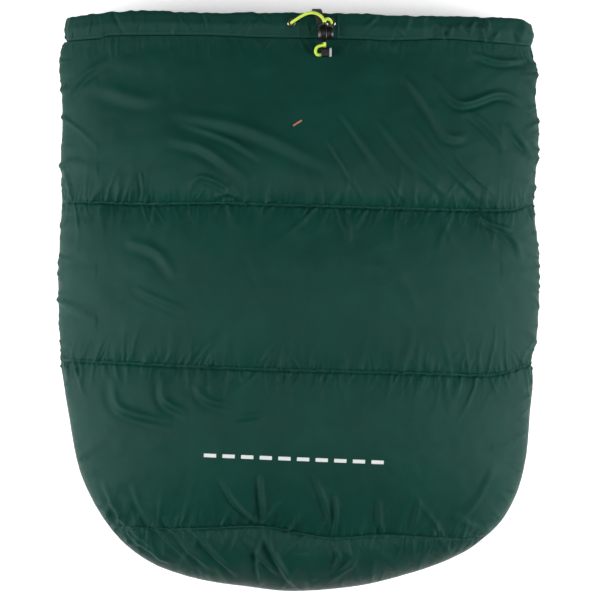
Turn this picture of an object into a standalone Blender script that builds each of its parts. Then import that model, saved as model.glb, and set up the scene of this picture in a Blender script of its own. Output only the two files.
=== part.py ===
"""A down foot sack lying on its back: shells, linings, down chambers, baffles, a drawcord hem and its cord lock.

Metres. X runs across the sack, Y from the toe to the mouth, Z up. The origin is on the ground under its middle.
"""

import math

import bmesh
import bpy
from mathutils import Vector

# The outline, seen from above
HALF_WIDTH = 0.2385
MOUTH_Y = 0.2885
HEM_SEAM_Y = 0.2622
BEND_Y = -0.0605  # the sides are straight above this and curve in to the toe below it
TOE_LENGTH = 0.2300
OUTLINE_POWER = 2.6

# The section across the sack
SIDE_Z = 0.0450  # height of the side seams
FRONT_RISE = 0.0850
BACK_DROP = 0.0470  # a little more than SIDE_Z, so that the back lies flat on the ground
MOUTH_RISE = 0.0350
MOUTH_DROP = 0.0460
MOUTH_SLOPE = 0.1000  # length over which the loft grows from the hem to its full height
SEAM_DIP = 0.14  # share of the rise lost along a cross seam
BACK_SEAM_DIP = 0.07
SEAM_REACH = 0.055

# The inside
LINING_HALF_WIDTH = 0.2120
LINING_TOE_LENGTH = 0.1950
LINING_RISE = 0.0400
LINING_DROP = 0.0130
LINING_MOUTH_RISE = 0.0285
LINING_MOUTH_DROP = 0.0390

FABRIC = 0.0006
GAP = 0.0003

# Cross seams, in the lengthwise coordinate of row_place
CROSS_SEAMS = (-0.478, 0.041, 0.750)
CHAMBER_CLEARANCE = 0.0022  # from a cross seam to the down on each side of it
BAFFLE_HALF_THICKNESS = 0.0009
CHAMBER_ROWS = 5
COLUMNS = 12

# The hem
HEM_THICKNESS = 0.0076
HEM_COLUMNS = 24
HEM_SECTION_POINTS = 12
CORD_DIAMETER = 0.0030
CORD_DEPTH = 0.0038  # from the hem's outer face to the cord's centreline
HEM_Y = (HEM_SEAM_Y + GAP + MOUTH_Y) / 2
HEM_TOP_Z = SIDE_Z + MOUTH_RISE

# The eyelets
EYELET_X = {"eyelet_left": -0.0068, "eyelet_right": 0.0326}
EYELET_Y = 0.2757
EYELET_BORE = 0.0050
EYELET_NECK = 0.0060
EYELET_FLANGE = 0.0092
EYELET_HOLE = 0.0068

# The cord lock, whose plunger slides along X
LOCK_Y = 0.2655
LOCK_Z = 0.0898
BARREL_LEFT_X = 0.0181
BARREL_RIM_X = 0.0282
PLUNGER_INNER_X = 0.0226
PLUNGER_TIP_X = 0.0353
PLUNGER_TRAVEL = 0.0020
CORD_HOLE_X = 0.0258
CORD_HOLE_HALF = (0.0018, 0.0036)
STRAND_OFFSET = 0.00175
TAB_HINGE_Y = 0.2893
TAB_HINGE_Z = HEM_TOP_Z - 0.0005

# The cord end
END_LOW = (0.0225, 0.2412, 0.0864)
END_HIGH = (0.0302, 0.2508, 0.0938)
CLIP_RIGHT_X = 0.0328


def clear_scene():
    for obj in list(bpy.data.objects):
        bpy.data.objects.remove(obj, do_unlink=True)


def material(name, colour, roughness, metallic=0.0):
    made = bpy.data.materials.new(name)
    made.use_nodes = True
    shader = made.node_tree.nodes["Principled BSDF"]
    shader.inputs["Base Color"].default_value = (*colour, 1.0)
    shader.inputs["Roughness"].default_value = roughness
    shader.inputs["Metallic"].default_value = metallic
    return made


def add_object(name, mesh_data, made_material):
    obj = bpy.data.objects.new(name, mesh_data)
    mesh_data.materials.append(made_material)
    bpy.context.scene.collection.objects.link(obj)
    return obj


def add_mesh(name, work, made_material, smooth_degrees=40):
    """Turns a bmesh into an object with its faces pointing out."""
    bmesh.ops.recalc_face_normals(work, faces=work.faces)
    bmesh.ops.triangulate(work, faces=work.faces, quad_method="FIXED")
    mesh_data = bpy.data.meshes.new(name)
    work.to_mesh(mesh_data)
    work.free()
    mesh_data.shade_smooth()
    mesh_data.set_sharp_from_angle(angle=math.radians(smooth_degrees))
    return add_object(name, mesh_data, made_material)


def bridge(work, first, second, closed=True):
    """Quads between two rows of vertices. A row of one vertex is a pole."""
    count = max(len(first), len(second))
    for i in range(count if closed else count - 1):
        j = (i + 1) % count
        a, b = (first[i], first[j]) if len(first) > 1 else (first[0], first[0])
        c, d = (second[j], second[i]) if len(second) > 1 else (second[0], second[0])
        corners = list(dict.fromkeys((a, b, c, d)))
        work.faces.new(corners)


# ---------------------------------------------------------------- the sack's surfaces


def smoothstep(value):
    value = min(max(value, 0.0), 1.0)
    return value * value * (3.0 - 2.0 * value)


class Layer:
    """One surface of the sack's front (side 1) or back (side -1), and the surfaces nested inside it."""

    def __init__(self, side, half_width, toe_length, rise, mouth_rise, dip, power):
        self.side = side
        self.half_width = half_width
        self.toe_length = toe_length
        self.rise = rise
        self.mouth_rise = mouth_rise
        self.dip = dip
        self.power = power
        self.depth = 0.0

    def nested(self, depth):
        """The same surface, this far inside. A negative depth is outside."""
        inner = Layer(
            self.side,
            self.half_width - depth,
            self.toe_length - depth,
            self.rise - depth,
            self.mouth_rise - depth,
            self.dip,
            self.power,
        )
        inner.depth = self.depth + depth
        return inner

    def row_place(self, t):
        """(y, share of the toe's length) at lengthwise coordinate t: -1 hem seam, 0 bend, 1 tip of the toe."""
        if t <= 0.0:
            return BEND_Y - t * (HEM_SEAM_Y - BEND_Y), 0.0
        return BEND_Y - t * self.toe_length, t

    def height(self, t, y):
        grown = smoothstep((HEM_SEAM_Y - y) / MOUTH_SLOPE)
        dips = sum(math.exp(-abs(t - seam) / SEAM_REACH) for seam in CROSS_SEAMS)
        full = self.rise * (1.0 - self.dip * dips)
        return self.mouth_rise + (full - self.mouth_rise) * grown

    def point(self, t, u, y=None):
        """The point at lengthwise t and crosswise u, from -1 to 1. y replaces t's own y inside the hem."""
        row_y, toe = self.row_place(t)
        width = self.half_width * (1.0 - toe**OUTLINE_POWER) ** (1.0 / OUTLINE_POWER)
        x = u * width
        reach = (abs(x / self.half_width) ** OUTLINE_POWER + toe**OUTLINE_POWER) ** (
            1.0 / OUTLINE_POWER
        )
        swell = max(0.0, 1.0 - reach**self.power) ** 0.5
        rise = self.mouth_rise if y is not None else self.height(t, row_y)
        z = SIDE_Z + self.side * (GAP / 2 + rise * swell)
        if self.side < 0:
            z = max(z, self.depth)
        return Vector((x, row_y if y is None else y, z))


FRONT = Layer(1, HALF_WIDTH, TOE_LENGTH, FRONT_RISE, MOUTH_RISE, SEAM_DIP, 2.4)
BACK = Layer(-1, HALF_WIDTH, TOE_LENGTH, BACK_DROP, MOUTH_DROP, BACK_SEAM_DIP, 3.5)
FRONT_LINING = Layer(
    1, LINING_HALF_WIDTH, LINING_TOE_LENGTH, LINING_RISE, LINING_MOUTH_RISE, 0.0, 2.4
)
BACK_LINING = Layer(
    -1, LINING_HALF_WIDTH, LINING_TOE_LENGTH, LINING_DROP, LINING_MOUTH_DROP, 0.0, 3.5
)
# The back lining is raised off the ground by the down under it, so the clamp never reaches it.
BACK_LINING.depth = 0.002


def columns(count):
    """Crosswise places from side to side, closer together where the sides curve down."""
    return [math.sin(math.pi * (i / count - 0.5)) for i in range(count + 1)]


def chamber_rows(index):
    """Lengthwise places of down chamber 0, 1, 2 or 3, closer together at its ends."""
    low = -1.0 if index == 0 else CROSS_SEAMS[index - 1] + CHAMBER_CLEARANCE
    high = 1.0 if index == len(CROSS_SEAMS) else CROSS_SEAMS[index] - CHAMBER_CLEARANCE
    shares = [
        (1.0 - math.cos(math.pi * i / CHAMBER_ROWS)) / 2
        for i in range(CHAMBER_ROWS + 1)
    ]
    return [low + (high - low) * share for share in shares]


def add_slab(name, outer, inner, rows, made_material):
    """The closed solid between two layers, over these lengthwise places."""
    work = bmesh.new()
    grids = []
    for layer in (outer, inner):
        grid = []
        for t in rows:
            across = [0.0] if t >= 1.0 else columns(COLUMNS)
            grid.append([work.verts.new(layer.point(t, u)) for u in across])
        grids.append(grid)
    for grid in grids:
        for first, second in zip(grid, grid[1:]):
            bridge(work, first, second, closed=False)
    top, bottom = grids
    for edge in (0, -1):
        bridge(work, [r[edge] for r in top], [r[edge] for r in bottom], closed=False)
    for end in (0, -1):
        if len(top[end]) > 1:
            bridge(work, top[end], bottom[end], closed=False)
    return add_mesh(name, work, made_material)


def add_sack(fabric, lining_fabric, down, netting):
    """The front and the back: shell, lining, four down chambers and three baffles each."""
    all_rows = [t for index in range(4) for t in chamber_rows(index)]
    for label, shell, lining in (
        ("front", FRONT, FRONT_LINING),
        ("back", BACK, BACK_LINING),
    ):
        add_slab(f"{label}_shell", shell, shell.nested(FABRIC), all_rows, fabric)
        add_slab(f"{label}_lining", lining, lining.nested(FABRIC), all_rows, lining_fabric)
        under_shell = shell.nested(FABRIC + GAP)
        over_lining = lining.nested(-GAP)
        for index in range(4):
            name = f"{label}_down_{index + 1}"
            add_slab(name, under_shell, over_lining, chamber_rows(index), down)
        for index, seam in enumerate(CROSS_SEAMS):
            rows = [seam - BAFFLE_HALF_THICKNESS, seam + BAFFLE_HALF_THICKNESS]
            name = f"{label}_baffle_{index + 1}"
            add_slab(name, under_shell.nested(GAP), over_lining.nested(-GAP), rows, netting)


# ---------------------------------------------------------------- the hem


def hem_section(wall):
    """(y, depth) points round the tunnel's section, this far inside its outer face. It is a rounded box."""
    half_y = (MOUTH_Y - HEM_SEAM_Y - GAP) / 2 - wall
    half_depth = HEM_THICKNESS / 2 - wall
    section = []
    for i in range(HEM_SECTION_POINTS):
        angle = 2 * math.pi * (i + 0.5) / HEM_SECTION_POINTS
        c, s = math.cos(angle), math.sin(angle)
        y = HEM_Y + half_y * math.copysign(abs(c) ** 0.45, c)
        depth = HEM_THICKNESS / 2 - half_depth * math.copysign(abs(s) ** 0.45, s)
        section.append((y, depth))
    return section


def add_hem(name, layer, made_material):
    """Half of the drawcord tunnel, open at both ends, where it meets the other half at the sides."""
    work = bmesh.new()
    tubes = []
    for wall in (0.0, FABRIC):
        section = hem_section(wall)
        tubes.append(
            [
                [work.verts.new(layer.nested(depth).point(-1.0, u, y)) for y, depth in section]
                for u in columns(HEM_COLUMNS)
            ]
        )
    for tube in tubes:
        for first, second in zip(tube, tube[1:]):
            bridge(work, first, second)
    for end in (0, -1):
        bridge(work, tubes[0][end], tubes[1][end])
    return add_mesh(name, work, made_material)


def cut(obj, cutter):
    """Takes the cutter's shape out of the object. The cutter stays as a hidden helper."""
    cutter.hide_render = True
    cutter.display_type = "WIRE"
    modifier = obj.modifiers.new(f"cut_{cutter.name}", "BOOLEAN")
    modifier.operation = "DIFFERENCE"
    modifier.object = cutter


def add_disc_cutter(name, centre, radius, depth, made_material):
    work = bmesh.new()
    bmesh.ops.create_cone(
        work, cap_ends=True, segments=16, radius1=radius, radius2=radius, depth=depth
    )
    bmesh.ops.translate(work, verts=work.verts, vec=centre)
    return add_mesh(name, work, made_material)


def add_hems(fabric):
    front = add_hem("hem_front", FRONT, fabric)
    add_hem("hem_back", BACK, fabric)
    for name, x in EYELET_X.items():
        centre = (x, EYELET_Y, HEM_TOP_Z)
        cutter = add_disc_cutter(f"cutter_{name}", centre, EYELET_HOLE / 2, 0.0040, fabric)
        cut(front, cutter)


# ---------------------------------------------------------------- turned rings and tubes


def add_ring(name, profile, centre, made_material, segments=16):
    """A ring turned about Z from a closed profile of (radius, z) points."""
    work = bmesh.new()
    turns = []
    for i in range(segments):
        angle = 2 * math.pi * i / segments
        turn = [
            work.verts.new(
                (
                    centre[0] + radius * math.cos(angle),
                    centre[1] + radius * math.sin(angle),
                    centre[2] + z,
                )
            )
            for radius, z in profile
        ]
        turns.append(turn)
    for i in range(segments):
        bridge(work, turns[i], turns[(i + 1) % segments])
    return add_mesh(name, work, made_material, smooth_degrees=30)


def add_eyelets(metal):
    """Each eyelet has a rounded flange on the hem, a neck through its outer wall, and a washer under the wall."""
    bore, neck, flange = EYELET_BORE / 2, EYELET_NECK / 2, EYELET_FLANGE / 2
    neck_end = -FABRIC - 0.0008
    eyelet = [
        (bore, neck_end),
        (bore, 0.0007),
        (bore + 0.0005, 0.0012),
        (flange - 0.0006, 0.0012),
        (flange, 0.0007),
        (flange, GAP),
        (neck, GAP),
        (neck, neck_end),
    ]
    washer_top = -FABRIC - GAP
    washer = [
        (neck + GAP, washer_top),
        (neck + GAP, washer_top - 0.0005),
        (flange - 0.0004, washer_top - 0.0005),
        (flange - 0.0004, washer_top),
    ]
    for name, x in EYELET_X.items():
        side = name.split("_")[1]
        centre = (x, EYELET_Y, HEM_TOP_Z)
        add_ring(name, eyelet, centre, metal)
        add_ring(f"washer_{side}", washer, centre, metal)


def smooth_route(points, step):
    """Points about this far apart along a smooth curve through the route's own points."""
    points = [Vector(p) for p in points]
    ends = [points[0] * 2 - points[1], *points, points[-1] * 2 - points[-2]]
    dense = []
    for a, b, c, d in zip(ends, ends[1:], ends[2:], ends[3:]):
        for i in range(12):
            s = i / 12
            dense.append(
                0.5
                * (
                    2 * b
                    + (c - a) * s
                    + (2 * a - 5 * b + 4 * c - d) * s**2
                    + (3 * b - a - 3 * c + d) * s**3
                )
            )
    dense.append(points[-1])
    lengths = [0.0]
    for a, b in zip(dense, dense[1:]):
        lengths.append(lengths[-1] + (b - a).length)
    count = max(3, round(lengths[-1] / step) + 1)
    route = []
    place = 0
    for i in range(count):
        wanted = lengths[-1] * i / (count - 1)
        while place < len(dense) - 2 and lengths[place + 1] < wanted:
            place += 1
        span = lengths[place + 1] - lengths[place]
        share = (wanted - lengths[place]) / span if span else 0.0
        route.append(dense[place].lerp(dense[place + 1], min(1.0, share)))
    return route


def add_tube(name, route, radius, made_material, resolution=2):
    """A curve object with a round bevel and filled caps."""
    curve = bpy.data.curves.new(name, "CURVE")
    curve.dimensions = "3D"
    curve.bevel_depth = radius
    curve.bevel_resolution = resolution
    curve.use_fill_caps = True
    spline = curve.splines.new("POLY")
    spline.points.add(len(route) - 1)
    for point, place in zip(spline.points, route):
        point.co = (*place, 1.0)
    spline.use_smooth = True
    return add_object(name, curve, made_material)


def hem_cord_route():
    """From under the left eyelet, left round the mouth inside the tunnel, to under the right eyelet."""
    front = FRONT.nested(CORD_DEPTH)
    back = BACK.nested(CORD_DEPTH)
    from_left = math.asin(-0.0180 / front.half_width)
    to_right = math.asin(0.0438 / front.half_width)
    steps = 24
    route = []
    for i in range(steps + 1):
        angle = from_left + (-math.pi / 2 - from_left) * i / steps
        route.append(front.point(-1.0, math.sin(angle), EYELET_Y))
    for i in range(1, 2 * steps):
        angle = math.pi * (i / (2 * steps) - 0.5)
        route.append(back.point(-1.0, math.sin(angle), EYELET_Y))
    for i in range(steps + 1):
        angle = math.pi / 2 + (to_right - math.pi / 2) * i / steps
        route.append(front.point(-1.0, math.sin(angle), EYELET_Y))
    return route


def rise_through_eyelet(x, side):
    """The cord's last centimetre, from along the tunnel to straight up in the eyelet's bore."""
    low = HEM_TOP_Z - CORD_DEPTH
    return [
        (x + side * 0.0062, EYELET_Y, low),
        (x + side * 0.0035, EYELET_Y, low + 0.0002),
        (x + side * 0.0014, EYELET_Y, low + 0.0012),
        (x + side * 0.0002, EYELET_Y, low + 0.0030),
        (x, EYELET_Y, HEM_TOP_Z + 0.0004),
    ]


def add_cords(elastic):
    """The drawcord in the tunnel, its two leads to the lock, and the two tails below the lock."""
    left_x, right_x = EYELET_X["eyelet_left"], EYELET_X["eyelet_right"]
    left_rise = [Vector(p) for p in rise_through_eyelet(left_x, -1)]
    right_rise = [Vector(p) for p in rise_through_eyelet(right_x, 1)]
    tunnel = smooth_route(hem_cord_route(), 0.0130)
    route = left_rise[::-1] + tunnel + right_rise
    radius = CORD_DIAMETER / 2
    add_tube("drawcord_in_hem", route, radius, elastic)

    start_z = HEM_TOP_Z + 0.0007
    upper_z, lower_z = LOCK_Z + STRAND_OFFSET, LOCK_Z - STRAND_OFFSET
    lock_top_y = LOCK_Y + 0.0090
    left_lead = [
        (left_x, EYELET_Y, start_z),
        (left_x, EYELET_Y, start_z + 0.0018),
        (-0.0056, 0.2766, 0.0845),
        (-0.0020, 0.2789, 0.0860),
        (0.0030, 0.2820, 0.0868),
        (0.0085, 0.2845, 0.0882),
        (0.0140, 0.2853, 0.0894),
        (0.0195, 0.2836, 0.0903),
        (0.0236, 0.2802, 0.0907),
        (0.0254, 0.2772, upper_z),
        (CORD_HOLE_X, lock_top_y + 0.0006, upper_z),
    ]
    right_lead = [
        (right_x, EYELET_Y, start_z),
        (right_x, EYELET_Y, start_z + 0.0018),
        (0.0322, 0.2770, 0.0847),
        (0.0306, 0.2788, 0.0866),
        (0.0281, 0.2792, 0.0877),
        (0.0262, 0.2775, lower_z),
        (CORD_HOLE_X, lock_top_y + 0.0006, lower_z),
    ]
    left_tail = [
        (CORD_HOLE_X, lock_top_y + GAP, upper_z),
        (CORD_HOLE_X, LOCK_Y, upper_z),
        (CORD_HOLE_X, LOCK_Y - 0.0105, upper_z),
        (0.0251, 0.2534, upper_z),
        (0.0225, 0.2526, upper_z),
        (0.0196, 0.2517, 0.0912),
        (0.0175, 0.2496, 0.0907),
        (0.0170, 0.2466, 0.0904),
        (0.0178, 0.2444, 0.0903),
        (0.0192, 0.2436, 0.0903),
        (END_LOW[0] - 2 * GAP, 0.2436, 0.0903),
    ]
    right_tail = [
        (CORD_HOLE_X, lock_top_y + GAP, lower_z),
        (CORD_HOLE_X, LOCK_Y, lower_z),
        (CORD_HOLE_X, END_HIGH[1] + GAP, lower_z),
    ]
    step = 2 * CORD_DIAMETER
    add_tube("cord_lead_left", smooth_route(left_lead, step / 2), radius, elastic)
    add_tube("cord_lead_right", smooth_route(right_lead, step / 2), radius, elastic)
    add_tube("cord_tail_left", smooth_route(left_tail, step / 3), radius, elastic)
    add_tube("cord_tail_right", smooth_route(right_tail, step / 2), radius, elastic)


# ---------------------------------------------------------------- the cord lock and the cord end


def oval(x, half_y, half_z, count=20, power=0.85):
    """Points round an oval across X, centred on the lock's axis."""
    points = []
    for i in range(count):
        angle = 2 * math.pi * i / count
        c, s = math.cos(angle), math.sin(angle)
        y = LOCK_Y + half_y * math.copysign(abs(c) ** power, c)
        z = LOCK_Z + half_z * math.copysign(abs(s) ** power, s)
        points.append((x, y, z))
    return points


def add_loft(name, sections, made_material, smooth_degrees=45):
    """A closed solid through these rings of points, capped at both ends."""
    work = bmesh.new()
    rings = [[work.verts.new(p) for p in section] for section in sections]
    for first, second in zip(rings, rings[1:]):
        bridge(work, first, second)
    work.faces.new(rings[0])
    work.faces.new(rings[-1])
    return add_mesh(name, work, made_material, smooth_degrees)


def add_box(name, low, high, made_material, bevel=0.0):
    work = bmesh.new()
    bmesh.ops.create_cube(work, size=1.0)
    low, high = Vector(low), Vector(high)
    for vertex in work.verts:
        share = vertex.co + Vector((0.5, 0.5, 0.5))
        vertex.co = [a + (b - a) * s for a, b, s in zip(low, high, share)]
    obj = add_mesh(name, work, made_material)
    if bevel:
        modifier = obj.modifiers.new("round_edges", "BEVEL")
        modifier.width = bevel
        modifier.segments = 2
        modifier.limit_method = "ANGLE"
    return obj


def cord_hole_box(low_x, high_x, made_material, name):
    half_z = CORD_HOLE_HALF[1]
    low = (low_x, LOCK_Y - 0.0200, LOCK_Z - half_z)
    high = (high_x, LOCK_Y + 0.0200, LOCK_Z + half_z)
    return add_box(name, low, high, made_material)


def add_lock(plastic, steel, webbing):
    """The barrel is a cup, open on its right. The plunger slides in it against the spring."""
    barrel = add_loft(
        "cord_lock_barrel",
        [
            oval(BARREL_LEFT_X, 0.0052, 0.0038),
            oval(BARREL_LEFT_X + 0.0010, 0.0076, 0.0054),
            oval(BARREL_LEFT_X + 0.0032, 0.0090, 0.0064),
            oval(BARREL_LEFT_X + 0.0070, 0.0089, 0.0063),
            oval(BARREL_RIM_X, 0.0084, 0.0060),
        ],
        plastic,
    )
    neck = add_box(
        "cutter_barrel_neck",
        (CORD_HOLE_X - 0.0030, LOCK_Y - 0.0100, LOCK_Z - 0.0046),
        (CORD_HOLE_X + 0.0024, LOCK_Y - 0.0060, LOCK_Z + 0.0046),
        plastic,
    )
    neck.hide_render = True
    neck.display_type = "WIRE"
    join = barrel.modifiers.new("join_neck", "BOOLEAN")
    join.operation = "UNION"
    join.object = neck
    cavity = add_loft(
        "cutter_barrel_cavity",
        [oval(BARREL_LEFT_X + 0.0012, 0.0075, 0.0051), oval(0.0400, 0.0075, 0.0051)],
        plastic,
    )
    cut(barrel, cavity)
    low_x, high_x = CORD_HOLE_X - CORD_HOLE_HALF[0], CORD_HOLE_X + CORD_HOLE_HALF[0]
    cut(barrel, cord_hole_box(low_x, high_x, plastic, "cutter_barrel_hole"))

    plunger = add_loft(
        "cord_lock_plunger",
        [
            oval(PLUNGER_INNER_X, 0.0072, 0.0048),
            oval(BARREL_RIM_X + 0.0030, 0.0072, 0.0048),
            oval(PLUNGER_TIP_X - 0.0022, 0.0069, 0.0047),
            oval(PLUNGER_TIP_X - 0.0008, 0.0058, 0.0040),
            oval(PLUNGER_TIP_X, 0.0040, 0.0028),
        ],
        plastic,
    )
    hole = cord_hole_box(low_x, high_x + PLUNGER_TRAVEL, plastic, "cutter_plunger_hole")
    cut(plunger, hole)

    turns, radius, wire = 2.5, 0.0026, 0.00022
    start, end = BARREL_LEFT_X + 0.0016, PLUNGER_INNER_X - 0.0005
    coil = []
    steps = 28
    for i in range(steps + 1):
        angle = 2 * math.pi * turns * i / steps
        coil.append(
            Vector(
                (
                    start + (end - start) * i / steps,
                    LOCK_Y + radius * math.cos(angle),
                    LOCK_Z + radius * math.sin(angle),
                )
            )
        )
    add_tube("cord_lock_spring", coil, wire, steel, resolution=1)

    add_tab(webbing)


def add_tab(webbing):
    """Webbing from the hem's top edge, slanting down to the top of the lock."""
    half_width, half_thick = 0.0044, 0.00035
    places = [
        (0.0178, TAB_HINGE_Y, TAB_HINGE_Z + 0.0006),
        (0.0186, TAB_HINGE_Y - 0.0014, TAB_HINGE_Z + 0.0032),
        (0.0200, TAB_HINGE_Y - 0.0050, TAB_HINGE_Z + 0.0049),
        (0.0216, TAB_HINGE_Y - 0.0094, TAB_HINGE_Z + 0.0054),
        (0.0226, LOCK_Y + 0.0094, TAB_HINGE_Z + 0.0056),
    ]
    places = [Vector(p) for p in places]
    sections = []
    for i, place in enumerate(places):
        along = places[min(i + 1, len(places) - 1)] - places[max(i - 1, 0)]
        normal = Vector((0.0, -along.z, along.y))
        normal = normal.normalized() * -half_thick
        side = Vector((half_width, 0.0, 0.0))
        if i == len(places) - 1:
            normal = Vector((0.0, 0.0, half_thick))
        sections.append(
            [
                place - side - normal,
                place + side - normal,
                place + side + normal,
                place - side + normal,
            ]
        )
    add_loft("anchor_tab", sections, webbing)


def add_cord_end(plastic, clip_plastic):
    """A block that clamps both tails, and a clip that closes it on the right."""
    add_box("cord_end_body", END_LOW, END_HIGH, plastic, bevel=0.0008)
    low = (END_HIGH[0] + GAP, END_LOW[1] + 0.0004, END_LOW[2] + 0.0004)
    high = (CLIP_RIGHT_X, END_HIGH[1] - 0.0004, END_HIGH[2] - 0.0004)
    add_box("cord_end_clip", low, high, clip_plastic, bevel=0.0006)


def main():
    clear_scene()
    fabric = material("shell_fabric", (0.012, 0.058, 0.044), 0.45)
    lining_fabric = material("lining_fabric", (0.020, 0.070, 0.055), 0.50)
    down = material("down", (0.80, 0.79, 0.76), 0.95)
    netting = material("baffle_netting", (0.55, 0.57, 0.55), 0.90)
    metal = material("gunmetal", (0.10, 0.10, 0.11), 0.30, metallic=1.0)
    elastic = material("lime_elastic", (0.58, 0.74, 0.07), 0.55)
    plastic = material("black_plastic", (0.010, 0.010, 0.011), 0.32)
    clip_plastic = material("grey_plastic", (0.42, 0.43, 0.44), 0.30)
    steel = material("spring_steel", (0.55, 0.55, 0.56), 0.30, metallic=1.0)
    webbing = material("black_webbing", (0.012, 0.012, 0.013), 0.80)
    add_sack(fabric, lining_fabric, down, netting)
    add_hems(fabric)
    add_eyelets(metal)
    add_cords(elastic)
    add_lock(plastic, steel, webbing)
    add_cord_end(plastic, clip_plastic)


main()
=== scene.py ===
"""The looks of a down foot sack lying on its back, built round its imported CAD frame.

Metres. X runs across the sack, Y from the toe to the mouth, Z up out of its front.
"""

import math

import bpy
import numpy as np
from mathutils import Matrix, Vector
from mathutils.bvhtree import BVHTree
from mathutils.geometry import delaunay_2d_cdt


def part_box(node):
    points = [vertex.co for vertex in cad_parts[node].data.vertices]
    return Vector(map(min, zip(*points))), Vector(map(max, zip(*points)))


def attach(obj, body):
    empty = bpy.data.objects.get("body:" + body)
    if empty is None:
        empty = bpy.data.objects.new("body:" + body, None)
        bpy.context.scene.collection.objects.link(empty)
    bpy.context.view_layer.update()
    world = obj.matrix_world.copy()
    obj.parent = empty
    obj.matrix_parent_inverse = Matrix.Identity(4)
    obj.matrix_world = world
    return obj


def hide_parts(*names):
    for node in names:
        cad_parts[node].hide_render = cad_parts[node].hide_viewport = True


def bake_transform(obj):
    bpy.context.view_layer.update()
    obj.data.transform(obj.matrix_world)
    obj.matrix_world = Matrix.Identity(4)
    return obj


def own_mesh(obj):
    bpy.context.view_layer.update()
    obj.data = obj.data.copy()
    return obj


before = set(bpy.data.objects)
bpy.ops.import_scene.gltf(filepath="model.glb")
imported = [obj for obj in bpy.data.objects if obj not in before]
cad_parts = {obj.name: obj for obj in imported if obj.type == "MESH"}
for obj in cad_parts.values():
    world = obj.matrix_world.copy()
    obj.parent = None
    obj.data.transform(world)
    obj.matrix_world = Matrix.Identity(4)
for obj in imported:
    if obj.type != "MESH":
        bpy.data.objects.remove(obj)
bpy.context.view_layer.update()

# ---------------------------------------------------------------- places, from the frame

SHELL_LOW, SHELL_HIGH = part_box("front_shell")
LINING_LOW, LINING_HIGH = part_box("front_lining")
BACK_LINING_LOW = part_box("back_lining")[0]

HALF_WIDTH = SHELL_HIGH.x
SIDE_Z = SHELL_LOW.z  # height of the side seams
HEM_SEAM_Y = SHELL_HIGH.y
TOE_Y = SHELL_LOW.y
BEND_Y = -0.0605  # below this the sides curve in to the toe
TOE_LENGTH = BEND_Y - TOE_Y
OUTLINE_POWER = 2.6
HEM_FRONT_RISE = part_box("hem_front")[1].z - SIDE_Z - 0.0002  # of the mouth's arc, over the side seams
HEM_BACK_RISE = SIDE_Z - 0.0006

rng = np.random.default_rng(7)

# ---------------------------------------------------------------- the outline and its seams

# Where the sides and the toe really run, each as (x, y), from the mouth down
LEFT_SIDE = [
    (-0.2325, 0.2885), (-0.2335, 0.2740), (-0.2345, 0.2622), (-0.2375, 0.2525),
    (-0.2391, 0.2305), (-0.2365, 0.2085), (-0.2361, 0.1655), (-0.2375, 0.1475),
    (-0.2362, 0.1000), (-0.2385, 0.0600), (-0.2400, 0.0105), (-0.2375, -0.0605),
]
RIGHT_SIDE = [
    (0.2300, 0.2885), (0.2345, 0.2740), (0.2325, 0.2580), (0.2355, 0.2465),
    (0.2395, 0.2295), (0.2362, 0.2065), (0.2401, 0.1725), (0.2385, 0.1415),
    (0.2348, 0.0975), (0.2398, 0.0500), (0.2405, 0.0105), (0.2382, -0.0355),
    (0.2318, -0.0605),
]
TOE = [
    (-0.2375, -0.0605), (-0.2311, -0.1055), (-0.2265, -0.1335), (-0.2175, -0.1735),
    (-0.2075, -0.1965), (-0.1945, -0.2185), (-0.1775, -0.2395), (-0.1465, -0.2625),
    (-0.1115, -0.2755), (-0.0545, -0.2855), (-0.0085, -0.2905), (0.0505, -0.2865),
    (0.1015, -0.2755), (0.1365, -0.2645), (0.1705, -0.2485), (0.1875, -0.2355),
    (0.2035, -0.2195), (0.2190, -0.1905), (0.2270, -0.1595), (0.2310, -0.1165),
    (0.2342, -0.0815), (0.2318, -0.0605),
]
# Cross seams, each as (x, y)
FRONT_SEAMS = [
    [(-0.2370, 0.0985), (-0.1540, 0.0957), (-0.0774, 0.0961), (0.0015, 0.0937),
     (0.1198, 0.0905), (0.1900, 0.0893), (0.2175, 0.0905), (0.2350, 0.0975)],
    [(-0.2330, -0.0600), (-0.1920, -0.0616), (-0.0577, -0.0675), (0.1198, -0.0724),
     (0.1700, -0.0744), (0.2010, -0.0735), (0.2325, -0.0645)],
    [(-0.1880, -0.2262), (-0.1460, -0.2270), (-0.0970, -0.2270), (-0.0350, -0.2252),
     (0.0045, -0.2320), (0.0345, -0.2368), (0.0815, -0.2350), (0.1350, -0.2362), (0.1870, -0.2350)],
]
BACK_SEAMS = [
    [(-0.2370, 0.0940), (0.0, 0.0940), (0.2355, 0.0940)],
    [(-0.2330, -0.0690), (0.0, -0.0700), (0.2325, -0.0690)],
    [(-0.1900, -0.2250), (0.0, -0.2250), (0.1950, -0.2250)],
]
# The hem's sewn lower edge and its free upper edge, each as (x, y)
HEM_SEAM = [
    (-0.2385, 0.2575), (-0.2270, 0.2585), (-0.1960, 0.2604), (-0.1870, 0.2628), (-0.0980, 0.2628),
    (-0.0385, 0.2607), (0.0610, 0.2588), (0.0925, 0.2575), (0.1490, 0.2592), (0.1880, 0.2565),
    (0.2385, 0.2528),
]
HEM_EDGE = [
    (-0.2385, 0.2820), (-0.2310, 0.2832), (-0.1860, 0.2878), (-0.1500, 0.2884), (-0.0980, 0.2866),
    (-0.0185, 0.2861), (0.0610, 0.2850), (0.1240, 0.2828), (0.2000, 0.2826), (0.2230, 0.2812),
    (0.2385, 0.2750),
]

# ---------------------------------------------------------------- small helpers


def smooth(value):
    value = np.clip(value, 0.0, 1.0)
    return value * value * (3.0 - 2.0 * value)


def along_line(points):
    """Distance from the line's start to each of its points."""
    return np.concatenate([[0.0], np.cumsum(np.linalg.norm(np.diff(points, axis=0), axis=1))])


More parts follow.
